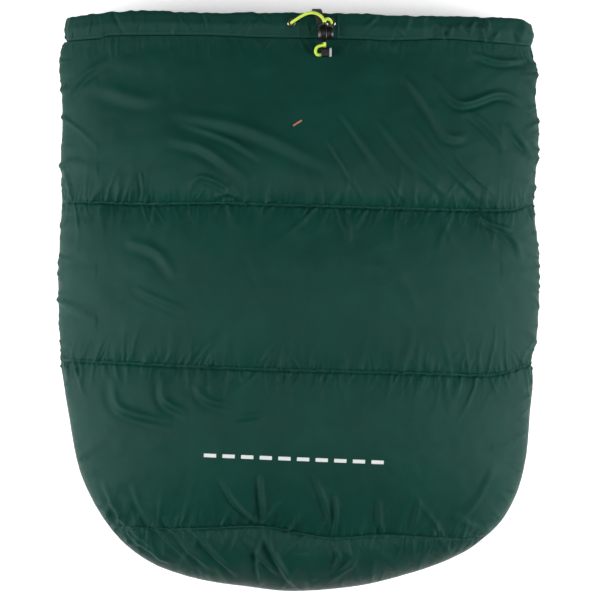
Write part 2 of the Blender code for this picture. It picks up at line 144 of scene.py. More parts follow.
def even_line(points, count):
    """The same line with this many evenly spaced points."""
    along = along_line(points)
    wanted = np.linspace(0.0, along[-1], count)
    return np.stack([np.interp(wanted, along, points[:, k]) for k in range(points.shape[1])], 1)


def curve_through(points, count):
    """Points evenly spaced along a smooth curve through the given ones."""
    points = np.array(points, float)
    padded = np.vstack([2 * points[0] - points[1], points, 2 * points[-1] - points[-2]])
    s = np.linspace(0.0, 1.0, 16, endpoint=False)[:, None]
    dense = []
    for a, b, c, d in zip(padded, padded[1:], padded[2:], padded[3:]):
        linear = 2 * b + (c - a) * s
        square = (2 * a - 5 * b + 4 * c - d) * s**2
        cube = (3 * b - a - 3 * c + d) * s**3
        dense.append(0.5 * (linear + square + cube))
    return even_line(np.vstack([*dense, points[-1]]), count)


def smooth_value(pairs, at):
    """A smooth curve through (place, value) pairs, read at these places."""
    line = curve_through(pairs, 400)
    return np.interp(at, line[:, 0], line[:, 1])


def add_object(name, vertices, faces, material):
    mesh = bpy.data.meshes.new(name)
    mesh.from_pydata([tuple(v) for v in vertices], [], [tuple(map(int, f)) for f in faces])
    mesh.update()
    obj = bpy.data.objects.new(name, mesh)
    bpy.context.scene.collection.objects.link(obj)
    mesh.materials.append(material)
    mesh.shade_smooth()
    return obj


def read_points(mesh):
    flat = np.empty(len(mesh.vertices) * 3)
    mesh.vertices.foreach_get("co", flat)
    return flat.reshape(-1, 3)


def read_normals(mesh):
    flat = np.empty(len(mesh.vertices) * 3)
    mesh.vertex_normals.foreach_get("vector", flat)
    return flat.reshape(-1, 3)


def write_points(mesh, points):
    mesh.vertices.foreach_set("co", np.asarray(points, float).ravel())
    mesh.update()


def apply_modifiers(obj):
    """Puts the object's evaluated mesh in its own data, so no modifier is left."""
    graph = bpy.context.evaluated_depsgraph_get()
    made = bpy.data.meshes.new_from_object(obj.evaluated_get(graph), depsgraph=graph)
    old = obj.data
    obj.modifiers.clear()
    obj.data = made
    bpy.data.meshes.remove(old)
    made.name = obj.name


def store_pattern(mesh, pattern):
    """Keeps each vertex's place on the flat cloth, in metres, in a UV map."""
    layer = mesh.uv_layers.new(name="cloth")
    corner_vertex = np.empty(len(mesh.loops), int)
    mesh.loops.foreach_get("vertex_index", corner_vertex)
    layer.data.foreach_set("uv", pattern[corner_vertex].ravel())


def read_pattern(mesh):
    corner_vertex = np.empty(len(mesh.loops), int)
    mesh.loops.foreach_get("vertex_index", corner_vertex)
    places = np.empty(len(mesh.loops) * 2)
    mesh.uv_layers["cloth"].data.foreach_get("uv", places)
    pattern = np.zeros((len(mesh.vertices), 2))
    pattern[corner_vertex] = places.reshape(-1, 2)
    return pattern


def grid_faces(rows, columns, close_columns=False):
    """Quads of a grid whose vertex (row, column) is number row * columns + column."""
    across = columns if close_columns else columns - 1
    faces = []
    for row in range(rows - 1):
        for column in range(across):
            right = (column + 1) % columns
            faces.append(
                (
                    row * columns + column,
                    row * columns + right,
                    (row + 1) * columns + right,
                    (row + 1) * columns + column,
                )
            )
    return faces


def ride_on(obj, body, slot, *nodes):
    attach(obj, body)
    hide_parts(*nodes)


# ---------------------------------------------------------------- camera and light


def add_camera():
    """Square-on above the front, from far enough that the height of the sack hardly shows."""
    frame_width = 0.600
    data = bpy.data.cameras.new("camera")
    data.lens = 300.0
    data.sensor_width = 36.0
    data.clip_end = 20.0
    camera = bpy.data.objects.new("camera", data)
    bpy.context.scene.collection.objects.link(camera)
    distance = frame_width * data.lens / data.sensor_width
    camera.location = (0.0015, 0.0005, SIDE_Z + distance)
    bpy.context.scene.camera = camera


def add_area_light(name, place, target, size, watts):
    data = bpy.data.lights.new(name, "AREA")
    data.shape = "RECTANGLE"
    data.size, data.size_y = size
    data.energy = watts
    light = bpy.data.objects.new(name, data)
    light.location = place
    light.rotation_euler = (Vector(target) - Vector(place)).to_track_quat("-Z", "Y").to_euler()
    bpy.context.scene.collection.objects.link(light)


SOFTBOX_SIZE = (0.7, 1.9)
SOFTBOX_WATTS = 36.0
OVERHEAD_SIZE = (0.8, 0.8)
OVERHEAD_WATTS = 5.0
AMBIENT = 0.06
FLOOR_HALF = 6.0


def add_studio():
    """Two long softboxes at the sides and little from above, so the flanks shine and the middle is deep."""
    floor = add_object(
        "studio_floor",
        [(x * FLOOR_HALF, y * FLOOR_HALF, 0) for x, y in ((-1, -1), (1, -1), (1, 1), (-1, 1))],
        [(0, 1, 2, 3)],
        floor_material(),
    )
    floor.location.z = -0.0002
    for name, side in (("softbox_left", -1), ("softbox_right", 1)):
        place, target = (side * 1.35, -0.13, 0.80), (side * 0.05, 0, 0.05)
        add_area_light(name, place, target, SOFTBOX_SIZE, SOFTBOX_WATTS)
    add_area_light("overhead", (0.0, 0.0, 3.4), (0, 0, 0), OVERHEAD_SIZE, OVERHEAD_WATTS)
    world = bpy.data.worlds.new("studio")
    bpy.context.scene.world = world
    world.use_nodes = True
    world.node_tree.nodes["Background"].inputs["Color"].default_value = (1, 1, 1, 1)
    world.node_tree.nodes["Background"].inputs["Strength"].default_value = AMBIENT
    bpy.context.scene.view_settings.view_transform = "Standard"


# ---------------------------------------------------------------- materials


class Look:
    """A procedural material and short ways to add nodes to it."""

    def __init__(self, name, colour, roughness, metallic=0.0, **inputs):
        self.material = bpy.data.materials.new(name)
        self.material.use_nodes = True
        self.tree = self.material.node_tree
        self.shader = self.tree.nodes["Principled BSDF"]
        self.colour = colour
        self.shader.inputs["Base Color"].default_value = (*colour, 1.0)
        self.shader.inputs["Roughness"].default_value = roughness
        self.shader.inputs["Metallic"].default_value = metallic
        for key, value in inputs.items():
            self.shader.inputs[key.replace("_", " ")].default_value = value
        self.place = self.node("ShaderNodeTexCoord")

    def node(self, kind, **values):
        node = self.tree.nodes.new(kind)
        for key, value in values.items():
            if key in node.inputs:
                node.inputs[key].default_value = value
            else:
                setattr(node, key, value)
        return node

    def link(self, output, into):
        self.tree.links.new(output, into)

    def math(self, operation, *values):
        node = self.node("ShaderNodeMath", operation=operation)
        for socket, value in zip(node.inputs, values):
            if isinstance(value, (int, float)):
                socket.default_value = value
            else:
                self.link(value, socket)
        return node.outputs["Value"]

    def noise(self, scale, detail=3.0):
        noise = self.node("ShaderNodeTexNoise", Scale=scale, Detail=detail)
        self.link(self.place.outputs["Object"], noise.inputs["Vector"])
        return noise.outputs["Fac"]

    def ramp(self, value, low, high, low_colour, high_colour):
        ramp = self.node("ShaderNodeValToRGB")
        first, last = ramp.color_ramp.elements
        first.position, last.position = low, high
        first.color, last.color = (*low_colour, 1.0), (*high_colour, 1.0)
        self.link(value, ramp.inputs["Fac"])
        return ramp.outputs["Color"]

    def mix(self, share, colour_a, colour_b):
        mix = self.node("ShaderNodeMix", data_type="RGBA")
        for value, socket in ((share, mix.inputs[0]), (colour_a, mix.inputs[6]), (colour_b, mix.inputs[7])):
            if isinstance(value, tuple):
                socket.default_value = (*value, 1.0)
            else:
                self.link(value, socket)
        return mix.outputs[2]

    def bump(self, height, distance, strength=1.0, over=None):
        bump = self.node("ShaderNodeBump", Strength=strength, Distance=distance)
        self.link(height, bump.inputs["Height"])
        if over is not None:
            self.link(over, bump.inputs["Normal"])
        return bump.outputs["Normal"]

    def use(self, output, key):
        self.link(output, self.shader.inputs[key])

    def mottle(self, scale, spread):
        """The colour, a little darker and lighter from place to place."""
        dark = tuple(c * (1 - spread) for c in self.colour)
        light = tuple(c * (1 + spread) for c in self.colour)
        return self.ramp(self.noise(scale, 4.0), 0.30, 0.72, dark, light)

    def uneven_roughness(self, scale, low, high):
        reach = self.node("ShaderNodeMapRange")
        reach.inputs["To Min"].default_value = low
        reach.inputs["To Max"].default_value = high
        self.link(self.noise(scale, 5.0), reach.inputs["Value"])
        self.use(reach.outputs["Result"], "Roughness")


THREAD_PITCH = 0.00042  # of the taffeta's weave
RIB_PITCH = 0.0011  # of the webbing's

# The two plain marks printed on the front, each as (middle, size, tilt, colour)
DASHED_LINE = ((-0.0015, -0.1565), (0.184, 0.0036), math.radians(-2.3), (0.62, 0.64, 0.63))
DASH_PITCH = 0.0184
DASH_SHARE = 0.66
SLANTED_BAR = ((-0.0010, 0.1755), (0.0100, 0.0016), math.radians(32), (0.47, 0.16, 0.12))


def weave(look, pitch):
    """Height of a plain weave: warp and weft that cross over and under."""
    split = look.node("ShaderNodeSeparateXYZ")
    look.link(look.place.outputs["UV"], split.inputs["Vector"])
    turns = 2 * math.pi / pitch
    warp = look.math("SINE", look.math("MULTIPLY", split.outputs["X"], turns))
    weft = look.math("SINE", look.math("MULTIPLY", split.outputs["Y"], turns))
    return look.math("MULTIPLY", warp, weft)


def box_mask(look, centre, size, tilt):
    """1 inside a tilted rectangle seen from above, and how far along it a place is, in metres."""
    split = look.node("ShaderNodeSeparateXYZ")
    look.link(look.place.outputs["Object"], split.inputs["Vector"])
    x = look.math("SUBTRACT", split.outputs["X"], centre[0])
    y = look.math("SUBTRACT", split.outputs["Y"], centre[1])
    cos, sin = math.cos(tilt), math.sin(tilt)
    along = look.math("ADD", look.math("MULTIPLY", x, cos), look.math("MULTIPLY", y, sin))
    across = look.math("SUBTRACT", look.math("MULTIPLY", y, cos), look.math("MULTIPLY", x, sin))
    inside = look.math("LESS_THAN", look.math("ABSOLUTE", along), size[0] / 2)
    inside = look.math("MULTIPLY", inside, look.math("LESS_THAN", look.math("ABSOLUTE", across), size[1] / 2))
    return inside, along


def taffeta(name, colour, roughness, prints=False):
    """Downproof nylon: a fine plain weave, a faint mottle and a soft gloss."""
    look = Look(name, colour, roughness, Specular_IOR_Level=0.10)
    cloth = look.mottle(24.0, 0.10)
    look.uneven_roughness(60.0, roughness - 0.05, roughness + 0.06)
    fine = look.bump(weave(look, THREAD_PITCH), 0.00007, 0.5)
    crinkle = look.noise(420.0, 4.0)
    look.use(look.bump(crinkle, 0.00026, 0.6, over=fine), "Normal")
    if prints:
        line, along = box_mask(look, *DASHED_LINE[:3])
        into_dash = look.math("FRACT", look.math("DIVIDE", along, DASH_PITCH))
        dashes = look.math("LESS_THAN", into_dash, DASH_SHARE)
        cloth = look.mix(look.math("MULTIPLY", line, dashes), cloth, DASHED_LINE[3])
        bar, _ = box_mask(look, *SLANTED_BAR[:3])
        cloth = look.mix(bar, cloth, SLANTED_BAR[3])
    look.use(cloth, "Base Color")
    return look.material


def braided_elastic():
    """Lime shock cord: fine braided yarns, with painted shade in the hollows between them and a painted
    highlight on their crowns.
    """
    look = Look("lime_elastic", (0.56, 0.74, 0.045), 0.42, Specular_IOR_Level=0.45, Sheen_Weight=0.15)
    split = look.node("ShaderNodeSeparateXYZ")
    look.link(look.place.outputs["UV"], split.inputs["Vector"])
    lays = []
    for operation in ("ADD", "SUBTRACT"):
        turns = look.math(operation, split.outputs["X"], split.outputs["Y"])
        lays.append(look.math("SINE", look.math("MULTIPLY", turns, 2 * math.pi)))
    braid = look.math("MULTIPLY", *lays)
    raised = look.node("ShaderNodeMapRange")
    raised.inputs["From Min"].default_value = -1.0
    look.link(braid, raised.inputs["Value"])
    crowns = raised.outputs["Result"]
    # Painted shade in the braid's hollows and a painted highlight on its crowns, taken from the crowns'
    # height.
    look.use(look.ramp(crowns, 0.15, 0.85, (0.40, 0.56, 0.020), (0.66, 0.84, 0.085)), "Base Color")
    look.use(look.bump(crowns, 0.00012, 0.7), "Normal")
    return look.material


def moulded_plastic(name, colour, roughness):
    """Injection-moulded plastic with a fine spark-eroded grain and slightly uneven gloss."""
    look = Look(name, colour, roughness, Specular_IOR_Level=0.42)
    look.use(look.mottle(180.0, 0.10), "Base Color")
    look.uneven_roughness(900.0, roughness - 0.06, roughness + 0.10)
    look.use(look.bump(look.noise(2600.0, 3.0), 0.00003, 0.5), "Normal")
    return look.material


def plated_metal(name, colour, roughness):
    """Plated metal with a faint mottle, a fine grain and an uneven gloss."""
    look = Look(name, colour, roughness, metallic=1.0)
    look.use(look.mottle(420.0, 0.16), "Base Color")
    look.uneven_roughness(1500.0, roughness - 0.06, roughness + 0.10)
    look.use(look.bump(look.noise(3200.0, 2.0), 0.00001, 0.4), "Normal")
    return look.material


def woven_tape():
    """Black nylon webbing in a coarse plain weave."""
    look = Look("black_webbing", (0.010, 0.010, 0.011), 0.62, Specular_IOR_Level=0.4, Sheen_Weight=0.2)
    look.use(look.mottle(300.0, 0.25), "Base Color")
    look.use(look.bump(weave(look, RIB_PITCH), 0.00018, 0.8), "Normal")
    return look.material


def floor_material():
    """White paper that glows a little, so that it stays white beside the sack."""
    look = Look("studio_floor", (0.95, 0.95, 0.95), 0.9, Specular_IOR_Level=0.1, Emission_Strength=0.50)
    look.use(look.mottle(1.5, 0.004), "Base Color")
    return look.material


# ---------------------------------------------------------------- the sack's two sheets


def base_radius(direction):
    """Distance from the bend's middle to the plain outline, along each direction in the toe."""
    a = np.abs(direction[:, 0]) / HALF_WIDTH
    b = np.abs(direction[:, 1]) / TOE_LENGTH
    return (a**OUTLINE_POWER + b**OUTLINE_POWER) ** (-1.0 / OUTLINE_POWER)


def stretch_to_outline(points, reach):
    """Moves points of the plain outline's shape so that its edge (reach 1) is the real outline."""
    x, y = points[:, 0], points[:, 1]
    left_x = smooth_value([(-py, -px) for px, py in LEFT_SIDE], -y)
    right_x = smooth_value([(-py, px) for px, py in RIGHT_SIDE], -y)
    toe = np.array(TOE) - [0.0, BEND_Y]
    angle = np.arctan2(toe[:, 1], toe[:, 0])
    angle[0] = -math.pi
    lengths = np.linalg.norm(toe, axis=1)
    share = lengths / base_radius(toe / lengths[:, None])
    own = np.arctan2(np.minimum(y - BEND_Y, -1e-9), x)
    toe_ratio = smooth_value(np.column_stack([angle, share]), own)
    straight = y >= BEND_Y
    ratio = np.where(straight, np.where(x < 0, left_x, right_x) / HALF_WIDTH, toe_ratio)
    pull = 1.0 + (ratio - 1.0) * np.clip(reach, 0, 1) ** 2
    return np.column_stack([x * pull, np.where(straight, y, BEND_Y + (y - BEND_Y) * pull)])


class Dome:
    """The front or the back of the sack: a swollen sheet that can be laid out flat."""

    def __init__(self, side, rise, mouth_rise, slope, power, floor=None):
        self.side = side
        self.rise = rise
        self.mouth_rise = mouth_rise
        self.slope = slope
        self.power = power
        self.floor = floor
        # The flat cloth is wider than the outline, because the sheet curves down at its edges.
        reach = np.linspace(0.0, 1.0, 800)
        drop = rise * np.sqrt(np.maximum(0.0, 1.0 - reach**power))
        along = along_line(np.column_stack([reach * HALF_WIDTH, drop]))
        self.wider = along[-1] / HALF_WIDTH
        self.reach_table = reach
        self.along_table = along / along[-1]

    def reach_of(self, x, y):
        toe = np.maximum(0.0, (BEND_Y - y) / TOE_LENGTH)
        side = np.abs(x) / HALF_WIDTH
        return (side**OUTLINE_POWER + toe**OUTLINE_POWER) ** (1.0 / OUTLINE_POWER)

    def scaled(self, x, y, scale):
        return np.column_stack([x * scale, np.where(y < BEND_Y, BEND_Y + (y - BEND_Y) * scale, y)])

    def lay_flat(self, points):
        """Places seen from above, (x, y), to places on the flat cloth."""
        x, y = points[:, 0], points[:, 1]
        reach = np.clip(self.reach_of(x, y), 1e-6, 1.0)
        scale = np.interp(reach, self.reach_table, self.along_table) / reach * self.wider
        return self.scaled(x, y, scale)

    def raise_up(self, pattern):
        """Places on the flat cloth to points in space, and their reach: 0 in the middle, 1 at the edge."""
        x, y = self.scaled(pattern[:, 0], pattern[:, 1], 1.0 / self.wider).T
        flat_reach = np.maximum(self.reach_of(x, y), 1e-6)
        reach = np.interp(flat_reach, self.along_table, self.reach_table)
        x, y = self.scaled(x, y, reach / flat_reach).T
        share = np.clip((HEM_SEAM_Y - y) / self.slope, 0.0, 1.0)
        grown = 0.5 * share + 0.5 * smooth(share)
        rise = self.mouth_rise + (self.rise - self.mouth_rise) * grown
        swell = np.sqrt(np.maximum(0.0, 1.0 - reach**self.power))
        z = SIDE_Z + self.side * rise * swell
        if self.floor is not None:
            z = np.maximum(z, self.floor)
        flat = stretch_to_outline(np.column_stack([x, y]), reach)
        # The top of the sheet ends at the hem's sewn edge.
        pull = smooth((y - (HEM_SEAM_Y - 0.05)) / 0.05)
        flat[:, 1] += pull * (smooth_value(HEM_SEAM, flat[:, 0]) - HEM_SEAM_Y)
        return np.column_stack([flat, z]), reach


def cloth_outline(dome, spacing):
    """The flat cloth's edge: down the left side, round the toe, up the right side and along the mouth."""
    edge_x = HALF_WIDTH * dome.wider
    count = round((HEM_SEAM_Y - BEND_Y) / spacing)
    down = np.linspace(HEM_SEAM_Y, BEND_Y, count, endpoint=False)
    left = np.column_stack([np.full(count, -edge_x), down])
    angle = np.linspace(0.0, math.pi, 721)
    power = 2.0 / OUTLINE_POWER
    toe_x = -edge_x * np.sign(np.cos(angle)) * np.abs(np.cos(angle)) ** power
    toe_y = BEND_Y - TOE_LENGTH * dome.wider * np.abs(np.sin(angle)) ** power
    toe = np.column_stack([toe_x, toe_y])
    toe = even_line(toe, round(along_line(toe)[-1] / spacing))
    right = left[::-1] * [-1.0, 1.0]
    mouth_x = np.linspace(edge_x, -edge_x, round(2 * edge_x / spacing) + 1)[1:-1]
    mouth = np.column_stack([mouth_x, np.full(len(mouth_x), HEM_SEAM_Y)])
    return np.vstack([left, toe, right, mouth])


def cloth_mesh(dome, spacing, seams):
    """Triangles over the flat cloth, with edges along its outline and its seams.

    Returns the places, the triangles, the outline's vertices and each seam's vertices.
    """
    outline = cloth_outline(dome, spacing)
    fixed = list(outline)
    edges = [(i, (i + 1) % len(outline)) for i in range(len(outline))]
    chains = []
    for seam in seams:
        flat = dome.lay_flat(curve_through(seam, 300))
        flat = even_line(flat, round(along_line(flat)[-1] / spacing))
        ends = [int(np.argmin(np.linalg.norm(outline - flat[k], axis=1))) for k in (0, -1)]
        chain = [ends[0], *range(len(fixed), len(fixed) + len(flat) - 2), ends[1]]
        fixed.extend(flat[1:-1])
        edges += list(zip(chain, chain[1:]))
        chains.append(chain)
    fixed = np.array(fixed)

    low, high = outline.min(0), outline.max(0)
    inner = []
    for row, y in enumerate(np.arange(low[1], high[1], spacing * math.sqrt(3) / 2)):
        xs = np.arange(low[0] + spacing * (0.25 + 0.5 * (row % 2)), high[0], spacing)
        inner.append(np.column_stack([xs, np.full(len(xs), y)]))
    inner = np.vstack(inner)
    inner += rng.uniform(-0.18, 0.18, inner.shape) * spacing
    seen = dome.scaled(inner[:, 0], inner[:, 1], 1.0 / dome.wider)
    inside = dome.reach_of(seen[:, 0], seen[:, 1]) < 1.0
    inner = inner[inside & (inner[:, 1] < HEM_SEAM_Y - 0.5 * spacing)]
    nearest = np.full(len(inner), 1.0)
    for chunk in np.array_split(fixed, 12):
        gaps = np.linalg.norm(inner[:, None, :] - chunk[None, :, :], axis=2)
        nearest = np.minimum(nearest, gaps.min(1))
    inner = inner[nearest > 0.62 * spacing]

    everything = np.vstack([fixed, inner])
    made = delaunay_2d_cdt([Vector(p) for p in everything], edges, [], 1, 1e-7)
    places = np.array([tuple(v) for v in made[0]])
    now = {source: index for index, sources in enumerate(made[3]) for source in sources}
    chains = [[now[i] for i in chain] for chain in chains]
    return places, made[2], [now[i] for i in range(len(outline))], chains


class Near:
    """The points within reach of a line: which they are, how far off it, on which side and how far along."""

    def __init__(self, line, points, reach):
        box_low, box_high = line.min(0) - reach, line.max(0) + reach
        which = np.flatnonzero(((points >= box_low) & (points <= box_high)).all(1))
        own = points[which]
        best = np.full(len(own), 1.0)
        index = np.zeros(len(own), int)
        for start in range(0, len(line), 40):
            part = line[start : start + 40]
            gaps = (own[:, :1] - part[None, :, 0]) ** 2 + (own[:, 1:] - part[None, :, 1]) ** 2
            closest = gaps.argmin(1)
            gap = gaps[np.arange(len(own)), closest]
            nearer = gap < best
            best[nearer], index[nearer] = gap[nearer], closest[nearer] + start
        best = np.sqrt(best)
        inside = best < reach
        tangents = np.gradient(line, axis=0)
        tangents /= np.linalg.norm(tangents, axis=1)[:, None]
        index = index[inside]
        offset, tangent = own[inside] - line[index], tangents[index]
        self.total = len(points)
        self.which = which[inside]
        self.distance = best[inside]
        self.side = np.where(tangent[:, 0] * offset[:, 1] >= tangent[:, 1] * offset[:, 0], 1.0, -1.0)
        along = along_line(line)
        self.along = along[index] + (tangent * offset).sum(1)
        self.run = along[-1]

    def spread(self, heights, default=0.0):
        """One value for every point, from the values of the near ones."""
        total = np.full(self.total, default)
        total[self.which] = heights
        return total


def gathers(near, side, pitch, length, width, height, lean):
    """Height of the little folds that run off a sewn line on one side of it, where the cloth is drawn in."""
    d, s = near.distance, near.along
    sums = np.zeros(len(d))
    place = 0.0
    order = np.argsort(s)
    ranked = s[order]
    while place < near.run:
        place += rng.uniform(0.45, 1.55) * pitch
        own_length = length * rng.uniform(0.35, 1.6)
        own_width = width * rng.uniform(0.7, 1.5)
        own_height = height * rng.uniform(0.3, 1.3)
        own_lean = lean + rng.normal(0.0, 0.28)
        curl = rng.normal(0.0, 4.0)
        low, high = np.searchsorted(ranked, (place - 0.05, place + 0.05))
        part = order[low:high]
        part = part[d[part] < own_length]
        far = d[part]
        centre = place + own_lean * far + curl * far**2
        fade = (1.0 - far / own_length) ** 1.2 * smooth((far + 0.0012) / 0.004)
        spread = own_width * (0.75 + 0.9 * far / own_length)
        sums[part] += own_height * fade * np.exp(-(((s[part] - centre) / spread) ** 2))
    return near.spread(sums * ((near.side == side) | (side == 0)))


def folds(points, lines):
    """Height of long soft folds. Each is (points of its crest, half width, height)."""
    total = np.zeros(len(points))
    for crest, width, height in lines:
        near = Near(curve_through(crest, 60), points, 5 * width)
        fade = np.sin(math.pi * np.clip(near.along / near.run, 0.0, 1.0)) ** 0.8
        across = near.side * near.distance / (0.82 * width)
        profile = np.exp(-(across**2)) - 0.60 * np.exp(-((across + 1.6) ** 2))
        total[near.which] += 1.25 * height * fade * profile
    return total


def ripples(points, shortest, longest, height):
    """Gentle unevenness from many small waves."""
    waves = 36
    total = np.zeros(len(points))
    for _ in range(waves):
        wavelength = shortest * (longest / shortest) ** rng.uniform()
        angle = rng.uniform(0, math.pi)
        phase = rng.uniform(0, 2 * math.pi)
        run = points[:, 0] * math.cos(angle) + points[:, 1] * math.sin(angle)
        total += wavelength / longest * np.sin(2 * math.pi * run / wavelength + phase)
    return height * total / math.sqrt(waves)


def inflate(obj, pinned, fullness, pressure, frames, bending):
    """Cloth simulation: air from inside blows the sheet up between its pinned seams."""
    pin = obj.vertex_groups.new(name="pin")
    pin.add([int(i) for i in pinned], 1.0, "REPLACE")
    fuller = obj.vertex_groups.new(name="fuller")
    for i, weight in enumerate(fullness / fullness.max()):
        fuller.add([i], float(weight), "REPLACE")
    cloth = obj.modifiers.new("cloth", "CLOTH")
    settings = cloth.settings
    settings.quality = 5
    settings.mass = 0.08
    settings.air_damping = 3.0
    settings.tension_stiffness = 20.0
    settings.compression_stiffness = 20.0
    settings.shear_stiffness = 8.0
    settings.bending_stiffness = bending
    settings.tension_damping = 8.0
    settings.compression_damping = 8.0
    settings.shear_damping = 8.0
    settings.bending_damping = 0.5
    settings.vertex_group_mass = "pin"
    settings.use_pressure = True
    settings.uniform_pressure_force = pressure
    settings.vertex_group_shrink = "fuller"
    settings.shrink_min = 0.0
    settings.shrink_max = -float(fullness.max())
    settings.effector_weights.gravity = 0.0
    cloth.collision_settings.use_collision = False
    cloth.collision_settings.use_self_collision = False
    cloth.point_cache.frame_start = 1
    cloth.point_cache.frame_end = frames
    for number in range(1, frames + 1):
        bpy.context.scene.frame_set(number)
    apply_modifiers(obj)
    bpy.context.scene.frame_set(1)


def smooth_sheet(obj, steps, keep):
    """Takes the finest unevenness out of a simulated sheet; keep is the vertices that stay put."""
    mesh = obj.data
    points = read_points(mesh)
    pairs = np.empty(len(mesh.edges) * 2, int)
    mesh.edges.foreach_get("vertices", pairs)
    a, b = pairs.reshape(-1, 2).T
    count = np.bincount(np.concatenate([a, b]), minlength=len(points))[:, None]
    held = np.zeros(len(points), bool)
    held[list(keep)] = True
    for _ in range(steps):
        total = np.zeros_like(points)
        np.add.at(total, a, points[b])
        np.add.at(total, b, points[a])
        points = np.where(held[:, None], points, 0.5 * points + 0.5 * total / count)
    write_points(mesh, points)


def subdivide(obj, levels):
    finer = obj.modifiers.new("finer", "SUBSURF")
    finer.levels = finer.render_levels = levels
    finer.uv_smooth = "NONE"
    apply_modifiers(obj)
    obj.data.shade_smooth()


# The front's long folds, each with the points of its crest as (x, y), its half width and its height
FRONT_FOLDS = [
    ([(-0.128, 0.186), (-0.050, 0.170), (0.040, 0.128)], 0.0075, 0.0022),
    ([(-0.130, 0.160), (-0.092, 0.150), (-0.046, 0.116)], 0.0060, 0.0020),
    ([(-0.118, 0.176), (-0.070, 0.160), (-0.034, 0.138)], 0.0040, 0.0012),
    ([(0.040, 0.190), (0.072, 0.142), (0.100, 0.094)], 0.0036, 0.0016),
    ([(0.058, 0.170), (0.084, 0.128), (0.108, 0.094)], 0.0026, 0.0012),
    ([(0.028, 0.160), (0.050, 0.124), (0.066, 0.096)], 0.0026, 0.0012),
    ([(0.078, 0.180), (0.110, 0.140), (0.152, 0.098)], 0.0044, 0.0018),
    ([(0.112, 0.176), (0.146, 0.134), (0.182, 0.098)], 0.0040, 0.0018),
    ([(0.138, 0.166), (0.165, 0.132), (0.196, 0.104)], 0.0028, 0.0012),
    ([(0.106, 0.224), (0.130, 0.190), (0.146, 0.164), (0.168, 0.162)], 0.0046, 0.0026),
    ([(0.134, 0.224), (0.160, 0.196), (0.200, 0.206), (0.226, 0.196)], 0.0040, 0.0026),
    ([(0.168, 0.190), (0.190, 0.170), (0.206, 0.150)], 0.0040, 0.0024),
    ([(0.172, 0.246), (0.200, 0.238), (0.228, 0.240)], 0.0034, 0.0018),
    ([(0.206, 0.176), (0.222, 0.158), (0.232, 0.140)], 0.0036, 0.0018),
    ([(-0.206, 0.214), (-0.150, 0.200), (-0.128, 0.214)], 0.0080, 0.0012),
    ([(-0.236, 0.196), (-0.216, 0.222), (-0.190, 0.240)], 0.0040, 0.0016),
    ([(-0.156, 0.128), (-0.154, 0.110), (-0.155, 0.097)], 0.0022, 0.0016),
    ([(-0.108, 0.110), (-0.096, 0.122), (-0.072, 0.112), (-0.058, 0.098)], 0.0036, 0.0020),
    ([(-0.090, 0.098), (-0.070, 0.106), (-0.050, 0.098)], 0.0030, 0.0014),
    ([(-0.172, 0.060), (-0.140, 0.048), (-0.120, 0.022)], 0.0060, 0.0016),
    ([(-0.164, 0.014), (-0.140, 0.002), (-0.110, -0.010)], 0.0046, 0.0012),
    ([(0.070, 0.040), (0.100, 0.020), (0.120, -0.010)], 0.0070, 0.0012),
    ([(0.196, 0.076), (0.214, 0.060), (0.222, 0.040)], 0.0040, 0.0018),
    ([(0.176, 0.084), (0.196, 0.074), (0.214, 0.070)], 0.0030, 0.0016),
    ([(-0.184, -0.076), (-0.176, -0.106), (-0.124, -0.122)], 0.0056, 0.0024),
    ([(-0.134, -0.072), (-0.132, -0.098), (-0.108, -0.112)], 0.0050, 0.0024),
    ([(-0.104, -0.082), (-0.090, -0.098), (-0.066, -0.104)], 0.0046, 0.0016),
    ([(-0.064, -0.116), (-0.044, -0.114), (-0.036, -0.108)], 0.0040, 0.0012),
    ([(-0.078, -0.176), (-0.062, -0.202), (-0.036, -0.225)], 0.0030, 0.0022),
    ([(-0.038, -0.172), (-0.036, -0.200), (-0.033, -0.226)], 0.0030, 0.0030),
    ([(-0.033, -0.228), (-0.026, -0.250), (-0.004, -0.284)], 0.0036, 0.0032),
    ([(-0.034, -0.232), (-0.040, -0.256), (-0.036, -0.282)], 0.0032, 0.0022),
    ([(-0.056, -0.232), (-0.036, -0.256), (-0.010, -0.278)], 0.0040, 0.0020),
    ([(0.014, -0.172), (0.026, -0.200), (0.036, -0.236)], 0.0036, 0.0020),
    ([(0.036, -0.192), (0.037, -0.214), (0.035, -0.236)], 0.0026, 0.0024),
    ([(0.034, -0.240), (0.040, -0.256), (0.034, -0.270)], 0.0030, 0.0020),
    ([(0.080, -0.196), (0.080, -0.216), (0.084, -0.234)], 0.0034, 0.0018),
    ([(0.120, -0.196), (0.117, -0.212), (0.112, -0.234)], 0.0034, 0.0014),
    ([(-0.196, -0.176), (-0.176, -0.216), (-0.140, -0.250)], 0.0036, 0.0022),
    ([(-0.166, -0.180), (-0.150, -0.216), (-0.106, -0.258)], 0.0040, 0.0022),
    ([(-0.182, -0.216), (-0.160, -0.240), (-0.124, -0.264)], 0.0028, 0.0018),
    ([(-0.136, -0.214), (-0.116, -0.240), (-0.084, -0.268)], 0.0034, 0.0022),
    ([(-0.112, -0.222), (-0.090, -0.246), (-0.060, -0.274)], 0.0030, 0.0022),
    ([(0.060, -0.246), (0.052, -0.262), (0.030, -0.280)], 0.0036, 0.0014),
    ([(0.196, -0.160), (0.176, -0.200), (0.140, -0.236)], 0.0040, 0.0014),
]
BACK_FOLDS = [
    ([(-0.150, 0.190), (-0.060, 0.170), (0.020, 0.150)], 0.0070, 0.0010),
    ([(0.090, 0.020), (0.130, 0.000), (0.170, -0.010)], 0.0060, 0.0010),
    ([(-0.060, -0.140), (-0.030, -0.180), (-0.020, -0.215)], 0.0050, 0.0012),
]


def seam_groove(near, width, depth):
    return near.spread(-depth * np.exp(-((near.distance / width) ** 2)))


